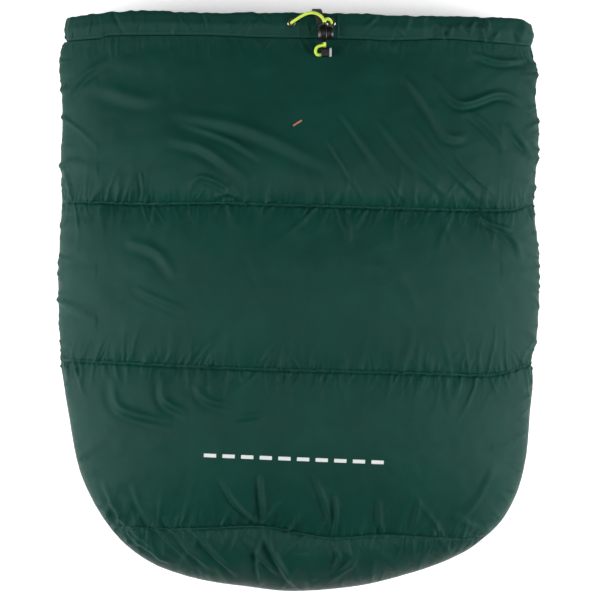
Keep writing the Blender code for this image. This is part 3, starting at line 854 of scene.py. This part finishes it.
def quilt_sheet(name, dome, spacing, seams, own_folds, material, seam_pulls, simulate, levels):
    """One outer sheet of the sack: blown up between its seams, then gathered and folded.

    seam_pulls are each seam's depth, and how far that reaches above and below it. Returns the piece and
    where its vertices go in the end.
    """
    pattern, faces, outline, chains = cloth_mesh(dome, spacing, seams)
    points, reach = dome.raise_up(pattern)
    seams_flat = [even_line(pattern[chain], 260) for chain in chains]
    inwards = np.ones(len(points))
    pull = np.zeros(len(points))
    for line, (depth, above, below) in zip(seams_flat, seam_pulls):
        near = Near(line, pattern, 0.12)
        fall_off = np.exp(-near.distance / np.where(near.side > 0, above, below))
        pull = np.maximum(pull, near.spread(depth * fall_off))
        inwards = np.minimum(inwards, 1.0 - near.spread(fall_off))
    # Each seam pulls the sheet down to the baffle under it, less near the sides.
    points[:, 2] -= dome.side * pull * smooth((1.0 - reach) / 0.30)
    obj = add_object(name, points, faces, material)
    store_pattern(obj.data, pattern)
    held = set(outline).union(*chains)
    if simulate:
        points[:, 2] += dome.side * rng.normal(0.0, 0.0003, len(points))
        write_points(obj.data, points)
        # The cloth is cut a little too long, most of all along the seams.
        fullness = 0.018 + 0.030 * np.exp(-inwards / 0.5)
        inflate(obj, sorted(held), fullness, pressure=2.6, frames=26, bending=1.5)
        smooth_sheet(obj, 2, held)
    subdivide(obj, levels)

    mesh = obj.data
    cloth = read_pattern(mesh)
    points = read_points(mesh)
    normals = read_normals(mesh)
    if (normals[:, 2] * dome.side).mean() < 0:
        mesh.flip_normals()
        normals = -normals
    above = points[:, :2]
    edge = cloth_outline(dome, spacing)
    sides = even_line(edge[: len(edge) - round(2 * HALF_WIDTH * dome.wider / spacing)], 400)
    half_mouth = HALF_WIDTH * dome.wider
    mouth = even_line(np.array([(-half_mouth, HEM_SEAM_Y), (half_mouth, HEM_SEAM_Y)]), 260)
    height = ripples(cloth, 0.016, 0.070, 0.00045)
    height += folds(above, own_folds)
    for line in seams_flat:
        near = Near(line, cloth, 0.060)
        for own_side, lean in ((1.0, 0.15), (-1.0, -0.10)):
            height += gathers(near, own_side, 0.0040, 0.020, 0.0012, 0.00110, lean)
            height += gathers(near, own_side, 0.0120, 0.038, 0.0025, 0.00180, lean)
        height += seam_groove(near, 0.0016, 0.0016)
    near_mouth, near_sides = Near(mouth, cloth, 0.030), Near(sides, cloth, 0.060)
    height += gathers(near_mouth, -1.0, 0.0058, 0.018, 0.0015, 0.00110, 0.05)
    height += gathers(near_sides, 0, 0.0060, 0.028, 0.0018, 0.00140, 0.0)
    height += gathers(near_sides, 0, 0.0200, 0.055, 0.0040, 0.00240, 0.0)
    at_edge = np.minimum(*(near.spread(near.distance, 1.0) for near in (near_mouth, near_sides)))
    # The edge is calm, more so and for further in round the toe.
    toe = smooth((BEND_Y - cloth[:, 1]) / 0.06)
    left_over = 0.30 - 0.22 * toe
    height *= left_over + (1.0 - left_over) * smooth(at_edge / (0.008 + 0.018 * toe))
    points = points + normals * height[:, None]
    return obj, points


def quilt_nodes(side):
    """The CAD nodes that one outer sheet stands for: its shell and all that is inside the quilt."""
    downs = [f"{side}_down_{i}" for i in range(1, 5)]
    return [f"{side}_shell", *downs, *[f"{side}_baffle_{i}" for i in range(1, 4)]]


def keep_clear(points, low, high, ceiling):
    """Presses the sheet under a ceiling that is level in a box seen from above and climbs outside it."""
    x, y = points[:, 0], points[:, 1]
    beside = np.maximum(0, np.maximum(low[0] - x, x - high[0]))
    beyond = np.maximum(0, np.maximum(low[1] - y, y - high[1]))
    over = points[:, 2] - (ceiling + 0.30 * np.hypot(beside, beyond))
    softness = 0.0012
    points[:, 2] -= softness * np.log1p(np.exp(np.clip(over / softness, -30, 30)))
    return points


def surface_of(obj):
    corners = [tuple(polygon.vertices) for polygon in obj.data.polygons]
    return BVHTree.FromPolygons([vertex.co for vertex in obj.data.vertices], corners)


STITCH_SPACING = 0.0031
STITCH_LENGTH = 0.0022
THREAD_RADIUS = 0.00022


def stitch_row(name, tree, line, material):
    """Short threads along a line seen from above, laid on a surface. Returns the thread piece."""
    run = along_line(line)[-1]
    count = int(run / STITCH_SPACING)
    dense = even_line(line, count * 2 + 1)
    points, faces = [], []
    # A thread's rings, each as (place along it, thickness)
    rings = ((-0.5, 0.25), (-0.38, 0.85), (-0.15, 1.0), (0.15, 1.0), (0.38, 0.85), (0.5, 0.25))
    for i in range(count):
        ends = []
        for place in (dense[2 * i], dense[2 * i + 1]):
            hit = tree.ray_cast(Vector((place[0], place[1], 1.0)), Vector((0, 0, -1)))
            if hit[0] is not None and abs(hit[1].z) > 0.35:
                ends.append(hit[0] + Vector((0, 0, 0.00012)))
        if len(ends) < 2:
            continue
        run_to = (ends[1] - ends[0]).normalized()
        middle = (ends[0] + ends[1]) / 2
        across = run_to.cross(Vector((0, 0, 1))).normalized()
        up = across.cross(run_to).normalized()
        base = len(points)
        for share, thick in rings:
            centre = middle + run_to * (share * STITCH_LENGTH)
            for k in range(8):
                angle = 2 * math.pi * k / 8
                sideways = across * (math.cos(angle) * THREAD_RADIUS * thick)
                points.append(centre + (sideways + up * (math.sin(angle) * THREAD_RADIUS * thick)))
        for row in range(len(rings) - 1):
            this, further = base + row * 8, base + row * 8 + 8
            for k in range(8):
                faces.append((this + k, this + (k + 1) % 8, further + (k + 1) % 8, further + k))
        faces.append(tuple(base + k for k in reversed(range(8))))
        faces.append(tuple(base + (len(rings) - 1) * 8 + k for k in range(8)))
    return add_object(name, points, faces, material)


# ---------------------------------------------------------------- the hem


HEM_MIDDLE_Y = 0.2720
HEM_THICKNESS = 0.0070


def mouth_arc(side, rise, power, count):
    """Half of the mouth's oval in (x, z), evenly spaced from the left to the right."""
    share = np.sin(np.linspace(-math.pi / 2, math.pi / 2, 2001))
    left = smooth_value([(-y, -x) for x, y in LEFT_SIDE], np.array([-HEM_MIDDLE_Y]))[0]
    right = smooth_value([(-y, x) for x, y in RIGHT_SIDE], np.array([-HEM_MIDDLE_Y]))[0]
    x = share * np.where(share < 0, left, right)
    z = SIDE_Z + side * rise * np.sqrt(np.maximum(0.0, 1.0 - np.abs(share) ** power))
    return even_line(np.column_stack([x, z]), count)


def hem_tube(name, side, rise, power, material, floor=None):
    """Half of the drawcord tunnel: a flat tube round the mouth, gathered along the cord."""
    columns, ring = 640, 48
    arc = mouth_arc(side, rise, power, columns)
    tangent = np.gradient(arc, axis=0)
    tangent /= np.linalg.norm(tangent, axis=1)[:, None]
    out = np.column_stack([-tangent[:, 1], tangent[:, 0]]) * side
    along = along_line(arc)
    seam_y = smooth_value(HEM_SEAM, arc[:, 0])
    edge_y = smooth_value(HEM_EDGE, arc[:, 0])
    angle = np.linspace(0, 2 * math.pi, ring, endpoint=False)
    run = np.sign(np.cos(angle)) * np.abs(np.cos(angle)) ** (2 / 2.5)
    bulge = np.sign(np.sin(angle)) * np.abs(np.sin(angle)) ** (2 / 2.2)
    share = (run + 1) / 2  # 0 at the sewn edge, 1 at the free edge
    s = np.repeat(along, ring)
    v = np.tile(share, columns)
    outer = np.tile(bulge, columns)
    y = np.repeat(seam_y, ring) + v * np.repeat(edge_y - seam_y, ring)
    offset = -HEM_THICKNESS / 2 + outer * HEM_THICKNESS / 2

    gather = np.zeros(len(s))
    edge_wave = np.zeros(columns)
    place = 0.0
    while place < along[-1]:
        place += rng.uniform(0.0020, 0.0080)
        # The cord has drawn the cloth together most on the right.
        bold = 1.0 + 0.7 * smooth((place - 0.68 * along[-1]) / (0.10 * along[-1]))
        lean = rng.normal(0.15, 0.45)
        width = rng.uniform(0.0009, 0.0026) * bold
        strength = rng.uniform(-0.0013, 0.0018) * bold
        start, end = sorted(rng.uniform(-0.15, 1.15, 2))
        reach = smooth((v - start) / 0.25 + 0.5) * smooth((end - v) / 0.25 + 0.5)
        centre = place + lean * (v - 0.5) * 0.024
        gather += strength * reach * np.exp(-(((s - centre) / width) ** 2))
        edge_wave += rng.uniform(-0.5, 0.5) * 0.0014 * np.exp(-(((along - place) / 0.0035) ** 2))
    # A cord runs inside, and the cloth is drawn in at both of its edges.
    cord = 0.0009 * np.exp(-(((v - 0.50) / 0.12) ** 2)) - 0.0008 * np.exp(-(((v - 0.12) / 0.05) ** 2))
    quiet = np.repeat(1.0 - 0.75 * np.exp(-(((arc[:, 0] - 0.014) / 0.036) ** 2)), ring)
    offset = offset + np.where(outer > 0, gather * quiet + cord * outer, 0.4 * gather)
    y = y + np.repeat(edge_wave, ring) * v

    x = np.repeat(arc[:, 0], ring) + np.repeat(out[:, 0], ring) * offset
    z = np.repeat(arc[:, 1], ring) + np.repeat(out[:, 1], ring) * offset
    if floor is not None:
        z = np.maximum(z, floor)
    points = np.column_stack([x, y, z])
    faces = grid_faces(columns, ring, close_columns=True)
    faces += [tuple(range(ring)), tuple(reversed(range((columns - 1) * ring, columns * ring)))]
    if side > 0:
        faces = [tuple(reversed(face)) for face in faces]
    obj = add_object(name, points, faces, material)
    store_pattern(obj.data, np.column_stack([s, y + outer * 0.001]))
    return obj


# ---------------------------------------------------------------- the lining


def lining_sheet(name, side, material):
    """The inner face of one quilt. It flares at the mouth to meet the hem."""
    low = BACK_LINING_LOW.z if side < 0 else None
    inner_width = LINING_HIGH.x
    rise = (LINING_HIGH.z - SIDE_Z) if side > 0 else SIDE_Z - low
    toe_length = BEND_Y - LINING_LOW.y
    rows, columns = 150, 130
    points = []
    cloth = []
    for row in range(rows):
        t = row / (rows - 1)
        length = HEM_SEAM_Y + 0.001 - BEND_Y
        if t < 0.6:
            y, toe = HEM_SEAM_Y + 0.001 - length * t / 0.6, 0.0
        else:
            toe = math.sin((t - 0.6) / 0.4 * math.pi / 2)
            y = BEND_Y - toe_length * toe
        narrow = (1.0 - toe**OUTLINE_POWER) ** (1 / OUTLINE_POWER) if toe < 1 else 0.0
        flare = float(smooth((y - (HEM_SEAM_Y - 0.030)) / 0.030))
        width = inner_width + (0.2290 - inner_width) * flare
        near_mouth = float(smooth((HEM_SEAM_Y - y) / 0.07))
        if side > 0:
            high = 0.0272 + (rise - 0.0272) * near_mouth
        else:
            high = 0.0385 + (rise - 0.0385) * near_mouth
        for column in range(columns):
            u = math.sin((column / (columns - 1) - 0.5) * math.pi)
            reach = (abs(u * narrow) ** OUTLINE_POWER + toe**OUTLINE_POWER) ** (1 / OUTLINE_POWER)
            swell = math.sqrt(max(0.0, 1.0 - min(1.0, reach) ** 2.4))
            points.append((u * width * narrow, y, SIDE_Z + side * high * swell))
            cloth.append((u * width * narrow, y))
    points = np.array(points)
    cloth = np.array(cloth)
    sag = ripples(cloth, 0.020, 0.080, 0.0008)
    for seam in BACK_SEAMS:
        near = Near(curve_through(seam, 200), cloth, 0.045)
        sag += gathers(near, 0, 0.0080, 0.026, 0.0024, 0.0010, 0.0)
        sag += seam_groove(near, 0.0022, 0.0014)
    fade = smooth((HEM_SEAM_Y - cloth[:, 1]) / 0.012) * smooth((inner_width - np.abs(points[:, 0])) / 0.02)
    points[:, 2] -= side * sag * fade
    faces = grid_faces(rows, columns)
    if side > 0:
        faces = [tuple(reversed(face)) for face in faces]
    obj = add_object(name, points, faces, material)
    store_pattern(obj.data, cloth)
    return obj


# ---------------------------------------------------------------- cords, tab and spring

CORD_DIAMETER = 0.0030
LEAD_LEFT = [
    (-0.0068, 0.2757, 0.0790), (-0.0068, 0.2757, 0.0825), (-0.0056, 0.2766, 0.0845),
    (-0.0020, 0.2789, 0.0860), (0.0030, 0.2820, 0.0868), (0.0085, 0.2845, 0.0882),
    (0.0140, 0.2853, 0.0894), (0.0195, 0.2836, 0.0903), (0.0236, 0.2802, 0.0907),
    (0.0254, 0.2772, 0.09155), (0.0258, 0.2745, 0.09155),
]
LEAD_RIGHT = [
    (0.0326, 0.2757, 0.0790), (0.0326, 0.2757, 0.0825), (0.0322, 0.2770, 0.0847),
    (0.0306, 0.2788, 0.0866), (0.0281, 0.2792, 0.0877), (0.0262, 0.2775, 0.08805),
    (0.0258, 0.2745, 0.08805),
]
TAIL_LEFT = [
    (0.0258, 0.2745, 0.09155), (0.0258, 0.2655, 0.09155), (0.0258, 0.2550, 0.09155),
    (0.0251, 0.2534, 0.09155), (0.0225, 0.2526, 0.09155), (0.0196, 0.2517, 0.0912),
    (0.0175, 0.2496, 0.0907), (0.0170, 0.2466, 0.0904), (0.0178, 0.2444, 0.0903),
    (0.0192, 0.2436, 0.0903), (0.0225, 0.2436, 0.0903),
]
TAIL_RIGHT = [(0.0258, 0.2745, 0.08805), (0.0258, 0.2655, 0.08805), (0.0258, 0.2508, 0.08805)]
TAB_ROUTE = [
    (0.0172, 0.2835, 0.0762), (0.0174, 0.2868, 0.0765), (0.0177, 0.2892, 0.0782),
    (0.0180, 0.2892, 0.0806), (0.0186, 0.2879, 0.0827), (0.0200, 0.2843, 0.0844),
    (0.0216, 0.2799, 0.0849), (0.0226, 0.2749, 0.0851),
]


def route_frames(path):
    """For each point of a path, its direction and two directions square to it that don't twist."""
    forward = np.gradient(path, axis=0)
    forward /= np.linalg.norm(forward, axis=1)[:, None]
    first = np.cross(forward[0], (0.0, 0.0, 1.0))
    if np.linalg.norm(first) < 0.2:
        first = np.cross(forward[0], (1.0, 0.0, 0.0))
    sides = [first / np.linalg.norm(first)]
    for k in range(1, len(path)):
        side = sides[-1] - forward[k] * np.dot(sides[-1], forward[k])
        sides.append(side / np.linalg.norm(side))
    sides = np.array(sides)
    return forward, sides, np.cross(forward, sides)


BRAID_STRANDS = 8
BRAID_LAY = 0.0052  # of one strand, once round the cord


def tube(name, path, radius, around, material, braid=0.0):
    """A round tube along a path, with closed ends. braid is how far its yarns stand proud."""
    _, side, up = route_frames(path)
    along = along_line(path)
    angle = np.linspace(0, 2 * math.pi, around, endpoint=False)
    turn = BRAID_STRANDS * angle[None, :]
    run = 2 * math.pi * along[:, None] / BRAID_LAY * BRAID_STRANDS / 2
    own = radius + braid * (np.abs(np.sin((turn + run) / 2)) * np.abs(np.sin((turn - run) / 2)) - 0.4)
    rings = (
        path[:, None, :]
        + (own * np.cos(angle)[None, :])[:, :, None] * side[:, None, :]
        + (own * np.sin(angle)[None, :])[:, :, None] * up[:, None, :]
    )
    points = np.vstack([rings.reshape(-1, 3), path[0], path[-1]])
    faces = grid_faces(len(path), around, close_columns=True)
    last = len(points) - 1
    for k in range(around):
        faces.append(((k + 1) % around, k, last - 1))
        base = (len(path) - 1) * around
        faces.append((base + k, base + (k + 1) % around, last))
    obj = add_object(name, points, [tuple(reversed(face)) for face in faces], material)
    u = np.tile(angle / (2 * math.pi) * BRAID_STRANDS / 2, len(path))
    w = np.repeat(along / BRAID_LAY * BRAID_STRANDS / 2 / 2, around)
    store_pattern(obj.data, np.vstack([np.column_stack([u, w]), [(0, 0), (0, along[-1] / BRAID_LAY)]]))
    return obj


def add_cord(name, route, material):
    path = curve_through(route, 220)
    return tube(name, path, CORD_DIAMETER / 2, 40, material, braid=0.00016), path


def add_hem_cord(material):
    """The stretch inside the tunnel, from the left eyelet right round the mouth to the right one."""
    depth = 0.0036
    front_arc = mouth_arc(1, HEM_FRONT_RISE - depth, 2.4, 400) * [0.985, 1.0]
    back_arc = mouth_arc(-1, HEM_BACK_RISE - depth, 3.5, 400) * [0.985, 1.0]
    left = front_arc[front_arc[:, 0] < LEAD_LEFT[0][0] - 0.003][::-1]
    right = front_arc[front_arc[:, 0] > LEAD_RIGHT[0][0] + 0.003][::-1]
    round_mouth = np.vstack([left, back_arc, right])
    x = round_mouth[:, 0]
    middle = 0.5 * (smooth_value(HEM_SEAM, x) + smooth_value(HEM_EDGE, x))
    at_eyelets = np.exp(-(((x - 0.013) / 0.06) ** 2)) * (round_mouth[:, 1] > SIDE_Z)
    y = middle + (LEAD_LEFT[0][1] - middle) * at_eyelets
    path = np.column_stack([x, y, round_mouth[:, 1]])
    path = curve_through(np.vstack([LEAD_LEFT[0], path[::6], LEAD_RIGHT[0]]), 900)
    return tube("drawcord_round_mouth", path, CORD_DIAMETER / 2, 16, material)


def add_spring(material):
    """The coil between the barrel's closed end and the plunger."""
    low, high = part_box("cord_lock_spring")
    wire = 0.00022
    radius = (high.y - low.y) / 2 - wire
    middle_y, middle_z = (low.y + high.y) / 2, (low.z + high.z) / 2
    turns = 4.5
    angle = np.linspace(0, 2 * math.pi * turns, 260)
    x = np.linspace(low.x + wire, high.x - wire, len(angle))
    path = np.column_stack([x, middle_y + radius * np.cos(angle), middle_z + radius * np.sin(angle)])
    spring = tube("lock_spring_coil", path, wire, 10, material)
    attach(spring, "cord_lock")
    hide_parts("cord_lock_spring")
    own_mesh(spring)


def add_tab(material):
    """Folded webbing: a flat strap with rounded edges and a fine cross rib."""
    path = curve_through(TAB_ROUTE, 90)
    forward = np.gradient(path, axis=0)
    forward /= np.linalg.norm(forward, axis=1)[:, None]
    across = np.cross(forward, np.cross((1.0, 0.0, 0.0), forward))
    across /= np.linalg.norm(across, axis=1)[:, None]
    up = np.cross(across, forward)
    up *= np.sign(up[:, 2])[:, None]
    half_width, half_thick = 0.0043, 0.00042
    ring = 48
    angle = np.linspace(0, 2 * math.pi, ring, endpoint=False)
    wide = np.sign(np.cos(angle)) * np.abs(np.cos(angle)) ** (2 / 6)
    thick = np.sign(np.sin(angle)) * np.abs(np.sin(angle)) ** (2 / 3)
    along = along_line(path)
    rib = 1.0 + 0.16 * np.sin(2 * math.pi * along / 0.0010)
    points = (
        path[:, None, :]
        + half_width * wide[None, :, None] * across[:, None, :]
        + (half_thick * rib)[:, None, None] * thick[None, :, None] * up[:, None, :]
    ).reshape(-1, 3)
    faces = grid_faces(len(path), ring, close_columns=True)
    faces += [tuple(reversed(range(ring))), tuple(range((len(path) - 1) * ring, len(path) * ring))]
    obj = add_object("anchor_tab_webbing", points, faces, material)
    store_pattern(obj.data, np.column_stack([np.tile(wide * half_width, len(path)), np.repeat(along, ring)]))
    return obj


# ---------------------------------------------------------------- the cord lock, cord end and eyelets


def oval_loft(sections, middle, squareness, around=72, steps=90, along_x=True):
    """Points and faces of a smooth solid on an axis through middle.

    sections are (place on the axis, half width, half height). squareness is 2 for an oval and more for a box.
    """
    rows = curve_through(sections, steps)
    angle = np.linspace(0, 2 * math.pi, around, endpoint=False)
    wide = np.sign(np.cos(angle)) * np.abs(np.cos(angle)) ** (2 / squareness)
    high = np.sign(np.sin(angle)) * np.abs(np.sin(angle)) ** (2 / squareness)
    place = np.repeat(rows[:, 0], around)
    across = (rows[:, 1:2] * wide[None, :]).ravel()
    up = (rows[:, 2:3] * high[None, :]).ravel() + middle[2]
    if along_x:
        points = np.column_stack([place, across + middle[1], up])
    else:
        points = np.column_stack([-across + middle[0], place, up])
    faces = [tuple(reversed(face)) for face in grid_faces(steps, around, close_columns=True)]
    faces += [tuple(range(around)), tuple(reversed(range((steps - 1) * around, steps * around)))]
    return points, faces


def join_parts(name, parts, material):
    """One piece made of several closed solids."""
    points, faces = [], []
    for own_points, own_faces in parts:
        faces += [tuple(i + len(points) for i in face) for face in own_faces]
        points.extend(own_points)
    return add_object(name, points, faces, material)


def add_lock(material):
    """The barrel is half a lens, open towards the plunger, with a collar where the cords go in and out."""
    low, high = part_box("cord_lock_barrel")
    x = low.x
    spring_low, spring_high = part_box("cord_lock_spring")
    middle = (0.0, spring_low.y / 2 + spring_high.y / 2, (low.z + high.z) / 2)
    cup = [
        (x, 0.0014, 0.0010), (x + 0.0003, 0.0036, 0.0026), (x + 0.0011, 0.0060, 0.0043),
        (x + 0.0026, 0.0079, 0.0056), (x + 0.0050, 0.0090, 0.0063), (x + 0.0076, 0.0093, 0.0064),
        (x + 0.0094, 0.0090, 0.0062), (x + 0.0100, 0.0086, 0.0059), (x + 0.0101, 0.0081, 0.0055),
        (x + 0.0098, 0.0077, 0.0052), (x + 0.0088, 0.0075, 0.0051), (x + 0.0060, 0.0075, 0.0051),
        (x + 0.0054, 0.0060, 0.0040),
    ]
    parts = [oval_loft(cup, middle, 2.25)]
    hole_x = LEAD_LEFT[-1][0]
    for end in (1, -1):
        collar = [
            (middle[1] + end * reach, half_x, half_z)
            for reach, half_x, half_z in (
                (0.0070, 0.0020, 0.0034), (0.0090, 0.0023, 0.0038), (0.0096, 0.0023, 0.0038),
                (0.0099, 0.0021, 0.0036), (0.0100, 0.0017, 0.0032),
            )
        ]
        if end < 0:
            collar.reverse()
        parts.append(oval_loft(collar, (hole_x, 0.0, middle[2]), 3.0, 48, 30, along_x=False))
    barrel = join_parts("lock_barrel", parts, material)
    ride_on(barrel, "cord_lock", "black_plastic", "cord_lock_barrel")

    low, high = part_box("cord_lock_plunger")
    tip = high.x
    button = [
        (low.x, 0.0050, 0.0034), (low.x + 0.0002, 0.0068, 0.0046), (low.x + 0.0008, 0.0072, 0.0048),
        (tip - 0.0062, 0.0072, 0.0048), (tip - 0.0058, 0.0070, 0.0047), (tip - 0.0054, 0.0072, 0.0048),
        (tip - 0.0034, 0.0071, 0.0047), (tip - 0.0018, 0.0064, 0.0043), (tip - 0.0007, 0.0052, 0.0036),
        (tip - 0.0001, 0.0034, 0.0024), (tip, 0.0016, 0.0012),
    ]
    plunger = join_parts("lock_plunger_button", [oval_loft(button, middle, 2.25)], material)
    ride_on(plunger, "plunger", "black_plastic", "cord_lock_plunger")


def soft_box(low, high, edge, squareness):
    """A moulded block with rounded ends and corners."""
    half_y, half_z = (high.y - low.y) / 2, (high.z - low.z) / 2
    near = 0.3 * edge
    sections = [
        (low.x, half_y - edge, half_z - edge), (low.x + near, half_y - near, half_z - near),
        (low.x + edge, half_y, half_z), (high.x - edge, half_y, half_z),
        (high.x - near, half_y - near, half_z - near), (high.x, half_y - edge, half_z - edge),
    ]
    return oval_loft(sections, (0.0, (low.y + high.y) / 2, (low.z + high.z) / 2), squareness, 96, 60)


def add_cord_end(dark, light):
    """The housing that grips both tails, and the clip that closes it, light grey as a painted highlight along
    the cord end's right edge.
    """
    body = join_parts("cord_end_housing", [soft_box(*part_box("cord_end_body"), 0.0009, 6.0)], dark)
    ride_on(body, "cord_end", "black_plastic", "cord_end_body")
    clip = join_parts("cord_end_clip_cap", [soft_box(*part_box("cord_end_clip"), 0.0006, 6.0)], light)
    ride_on(clip, "cord_end", "grey_plastic", "cord_end_clip")


def ring_solid(name, profile, centre, material):
    """A turned ring from its closed (radius, height) outline."""
    around = 96
    outline = curve_through([*profile, profile[0]], 72)[:-1]
    angle = np.linspace(0, 2 * math.pi, around, endpoint=False)
    points = []
    for turn in angle:
        points += [(centre[0] + r * math.cos(turn), centre[1] + r * math.sin(turn), z) for r, z in outline]
    faces = grid_faces(around, len(outline), close_columns=True)
    last = (around - 1) * len(outline)
    for k in range(len(outline)):
        right = (k + 1) % len(outline)
        faces.append((last + k, last + right, right, k))
    return add_object(name, points, faces, material)


def add_eyelets(material):
    """Rolled eyelets: a domed flange that turns down into the bore."""
    for side in ("left", "right"):
        low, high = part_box(f"eyelet_{side}")
        centre = ((low.x + high.x) / 2, (low.y + high.y) / 2)
        rim, top, bore = (high.x - low.x) / 2, high.z, 0.0025
        profile = [
            (bore, low.z + 0.0004), (bore, top - 0.0006), (bore + 0.0004, top - 0.0001),
            (bore + 0.0009, top), (rim - 0.0007, top - 0.0003), (rim - 0.0001, top - 0.0008),
            (rim - 0.0003, top - 0.0012), (bore + 0.0008, top - 0.0012), (bore + 0.0005, low.z + 0.0004),
        ]
        flange = ring_solid(f"eyelet_flange_{side}", profile, centre, material)
        ride_on(flange, "sack", "gunmetal", f"eyelet_{side}")


def add_cords(lime):
    """The one elastic drawcord, in the lengths that can move against each other."""
    lead_left, lead_path = add_cord("drawcord_lead_left", LEAD_LEFT, lime)
    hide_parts("cord_lead_left")
    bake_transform(lead_left)
    lead_right, _ = add_cord("drawcord_lead_right", LEAD_RIGHT, lime)
    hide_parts("cord_lead_right")
    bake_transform(lead_right)
    tail_left, tail_path = add_cord("drawcord_tail_left", TAIL_LEFT, lime)
    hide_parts("cord_tail_left")
    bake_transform(tail_left)
    tail_right, _ = add_cord("drawcord_tail_right", TAIL_RIGHT, lime)
    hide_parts("cord_tail_right")
    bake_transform(tail_right)


# ---------------------------------------------------------------- everything, piece by piece

add_camera()
lime = braided_elastic()
add_cords(lime)
add_studio()

SHELL_GREEN = (0.0032, 0.0385, 0.0285)
LINING_GREEN = (0.0110, 0.0560, 0.0440)
shell = taffeta("shell_fabric", SHELL_GREEN, 0.44)
printed_shell = taffeta("shell_fabric_printed", SHELL_GREEN, 0.44, prints=True)
lining = taffeta("lining_fabric", LINING_GREEN, 0.52)
thread = Look("thread", (0.012, 0.066, 0.050), 0.5)
thread.use(thread.mottle(800.0, 0.2), "Base Color")
black = moulded_plastic("black_plastic", (0.0045, 0.0045, 0.0050), 0.27)
# Light grey that paints a highlight: the clip's colour stands for the glint along the cord end's right edge.
painted_highlight_grey = moulded_plastic("grey_plastic", (0.40, 0.41, 0.42), 0.35)
gunmetal = plated_metal("gunmetal", (0.16, 0.155, 0.16), 0.20)
steel = plated_metal("spring_steel", (0.62, 0.62, 0.63), 0.22)
webbing = woven_tape()

FRONT = Dome(1, 0.0710, 0.0345, 0.165, 2.4)
BACK = Dome(-1, 0.0468, 0.0455, 0.10, 3.5, floor=0.0004)

FRONT_PULLS = ((0.0165, 0.014, 0.030), (0.0095, 0.018, 0.020), (0.0115, 0.030, 0.020))
BACK_PULLS = ((0.0060, 0.020, 0.020),) * 3

front, front_points = quilt_sheet(
    "front_quilt", FRONT, 0.0050, FRONT_SEAMS, FRONT_FOLDS, printed_shell, FRONT_PULLS, True, 2
)
# The lock and the cord end lie on the sheet, so it stays under them.
front_points = keep_clear(front_points, (0.014, 0.2540), (0.036, 0.2640), 0.0822)
front_points = keep_clear(front_points, (0.018, 0.2420), (0.032, 0.2520), 0.0856)
front_points[:, 2] = np.maximum(front_points[:, 2], SIDE_Z - 0.004)
write_points(front.data, front_points)
ride_on(front, "sack", "shell_fabric", *quilt_nodes("front"))

back, back_points = quilt_sheet(
    "back_quilt", BACK, 0.0085, BACK_SEAMS, BACK_FOLDS, shell, BACK_PULLS, False, 2
)
back_points[:, 2] = np.clip(back_points[:, 2], 0.0003, SIDE_Z)
write_points(back.data, back_points)
ride_on(back, "sack", "shell_fabric", *quilt_nodes("back"))

front_inner = lining_sheet("front_lining_cloth", 1, lining)
ride_on(front_inner, "sack", "lining_fabric", "front_lining")
back_inner = lining_sheet("back_lining_cloth", -1, lining)
ride_on(back_inner, "sack", "lining_fabric", "back_lining")

front_hem = hem_tube("hem_front_cloth", 1, HEM_FRONT_RISE, 2.4, shell)
ride_on(front_hem, "sack", "shell_fabric", "hem_front")
back_hem = hem_tube("hem_back_cloth", -1, HEM_BACK_RISE, 3.5, shell, floor=0.0002)
ride_on(back_hem, "sack", "shell_fabric", "hem_back")

front_surface = surface_of(front)
for number, seam in enumerate(FRONT_SEAMS, 1):
    line = curve_through(seam, 300) + [0.0, 0.0009]
    stitches = stitch_row(f"front_seam_stitches_{number}", front_surface, line, thread.material)
    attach(stitches, "sack")
hem_line = curve_through([(x * 0.985, y + 0.0030) for x, y in HEM_SEAM], 300)
stitches = stitch_row("hem_stitches", surface_of(front_hem), hem_line, thread.material)
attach(stitches, "sack")

hem_cord = add_hem_cord(lime)
ride_on(hem_cord, "sack", "lime_elastic", "drawcord_in_hem")

add_spring(steel)
add_lock(black)
add_cord_end(black, painted_highlight_grey)
add_eyelets(gunmetal)

# The tab's root stays in the hem, and the webbing bends where it comes out of it.
tab = add_tab(webbing)
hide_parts("anchor_tab")
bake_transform(tab)

# The two washers are carried over from the CAD as they are.
for name in ("washer_left", "washer_right"):
    for material_slot in bpy.data.objects[name].material_slots:
        material_slot.material = gunmetal
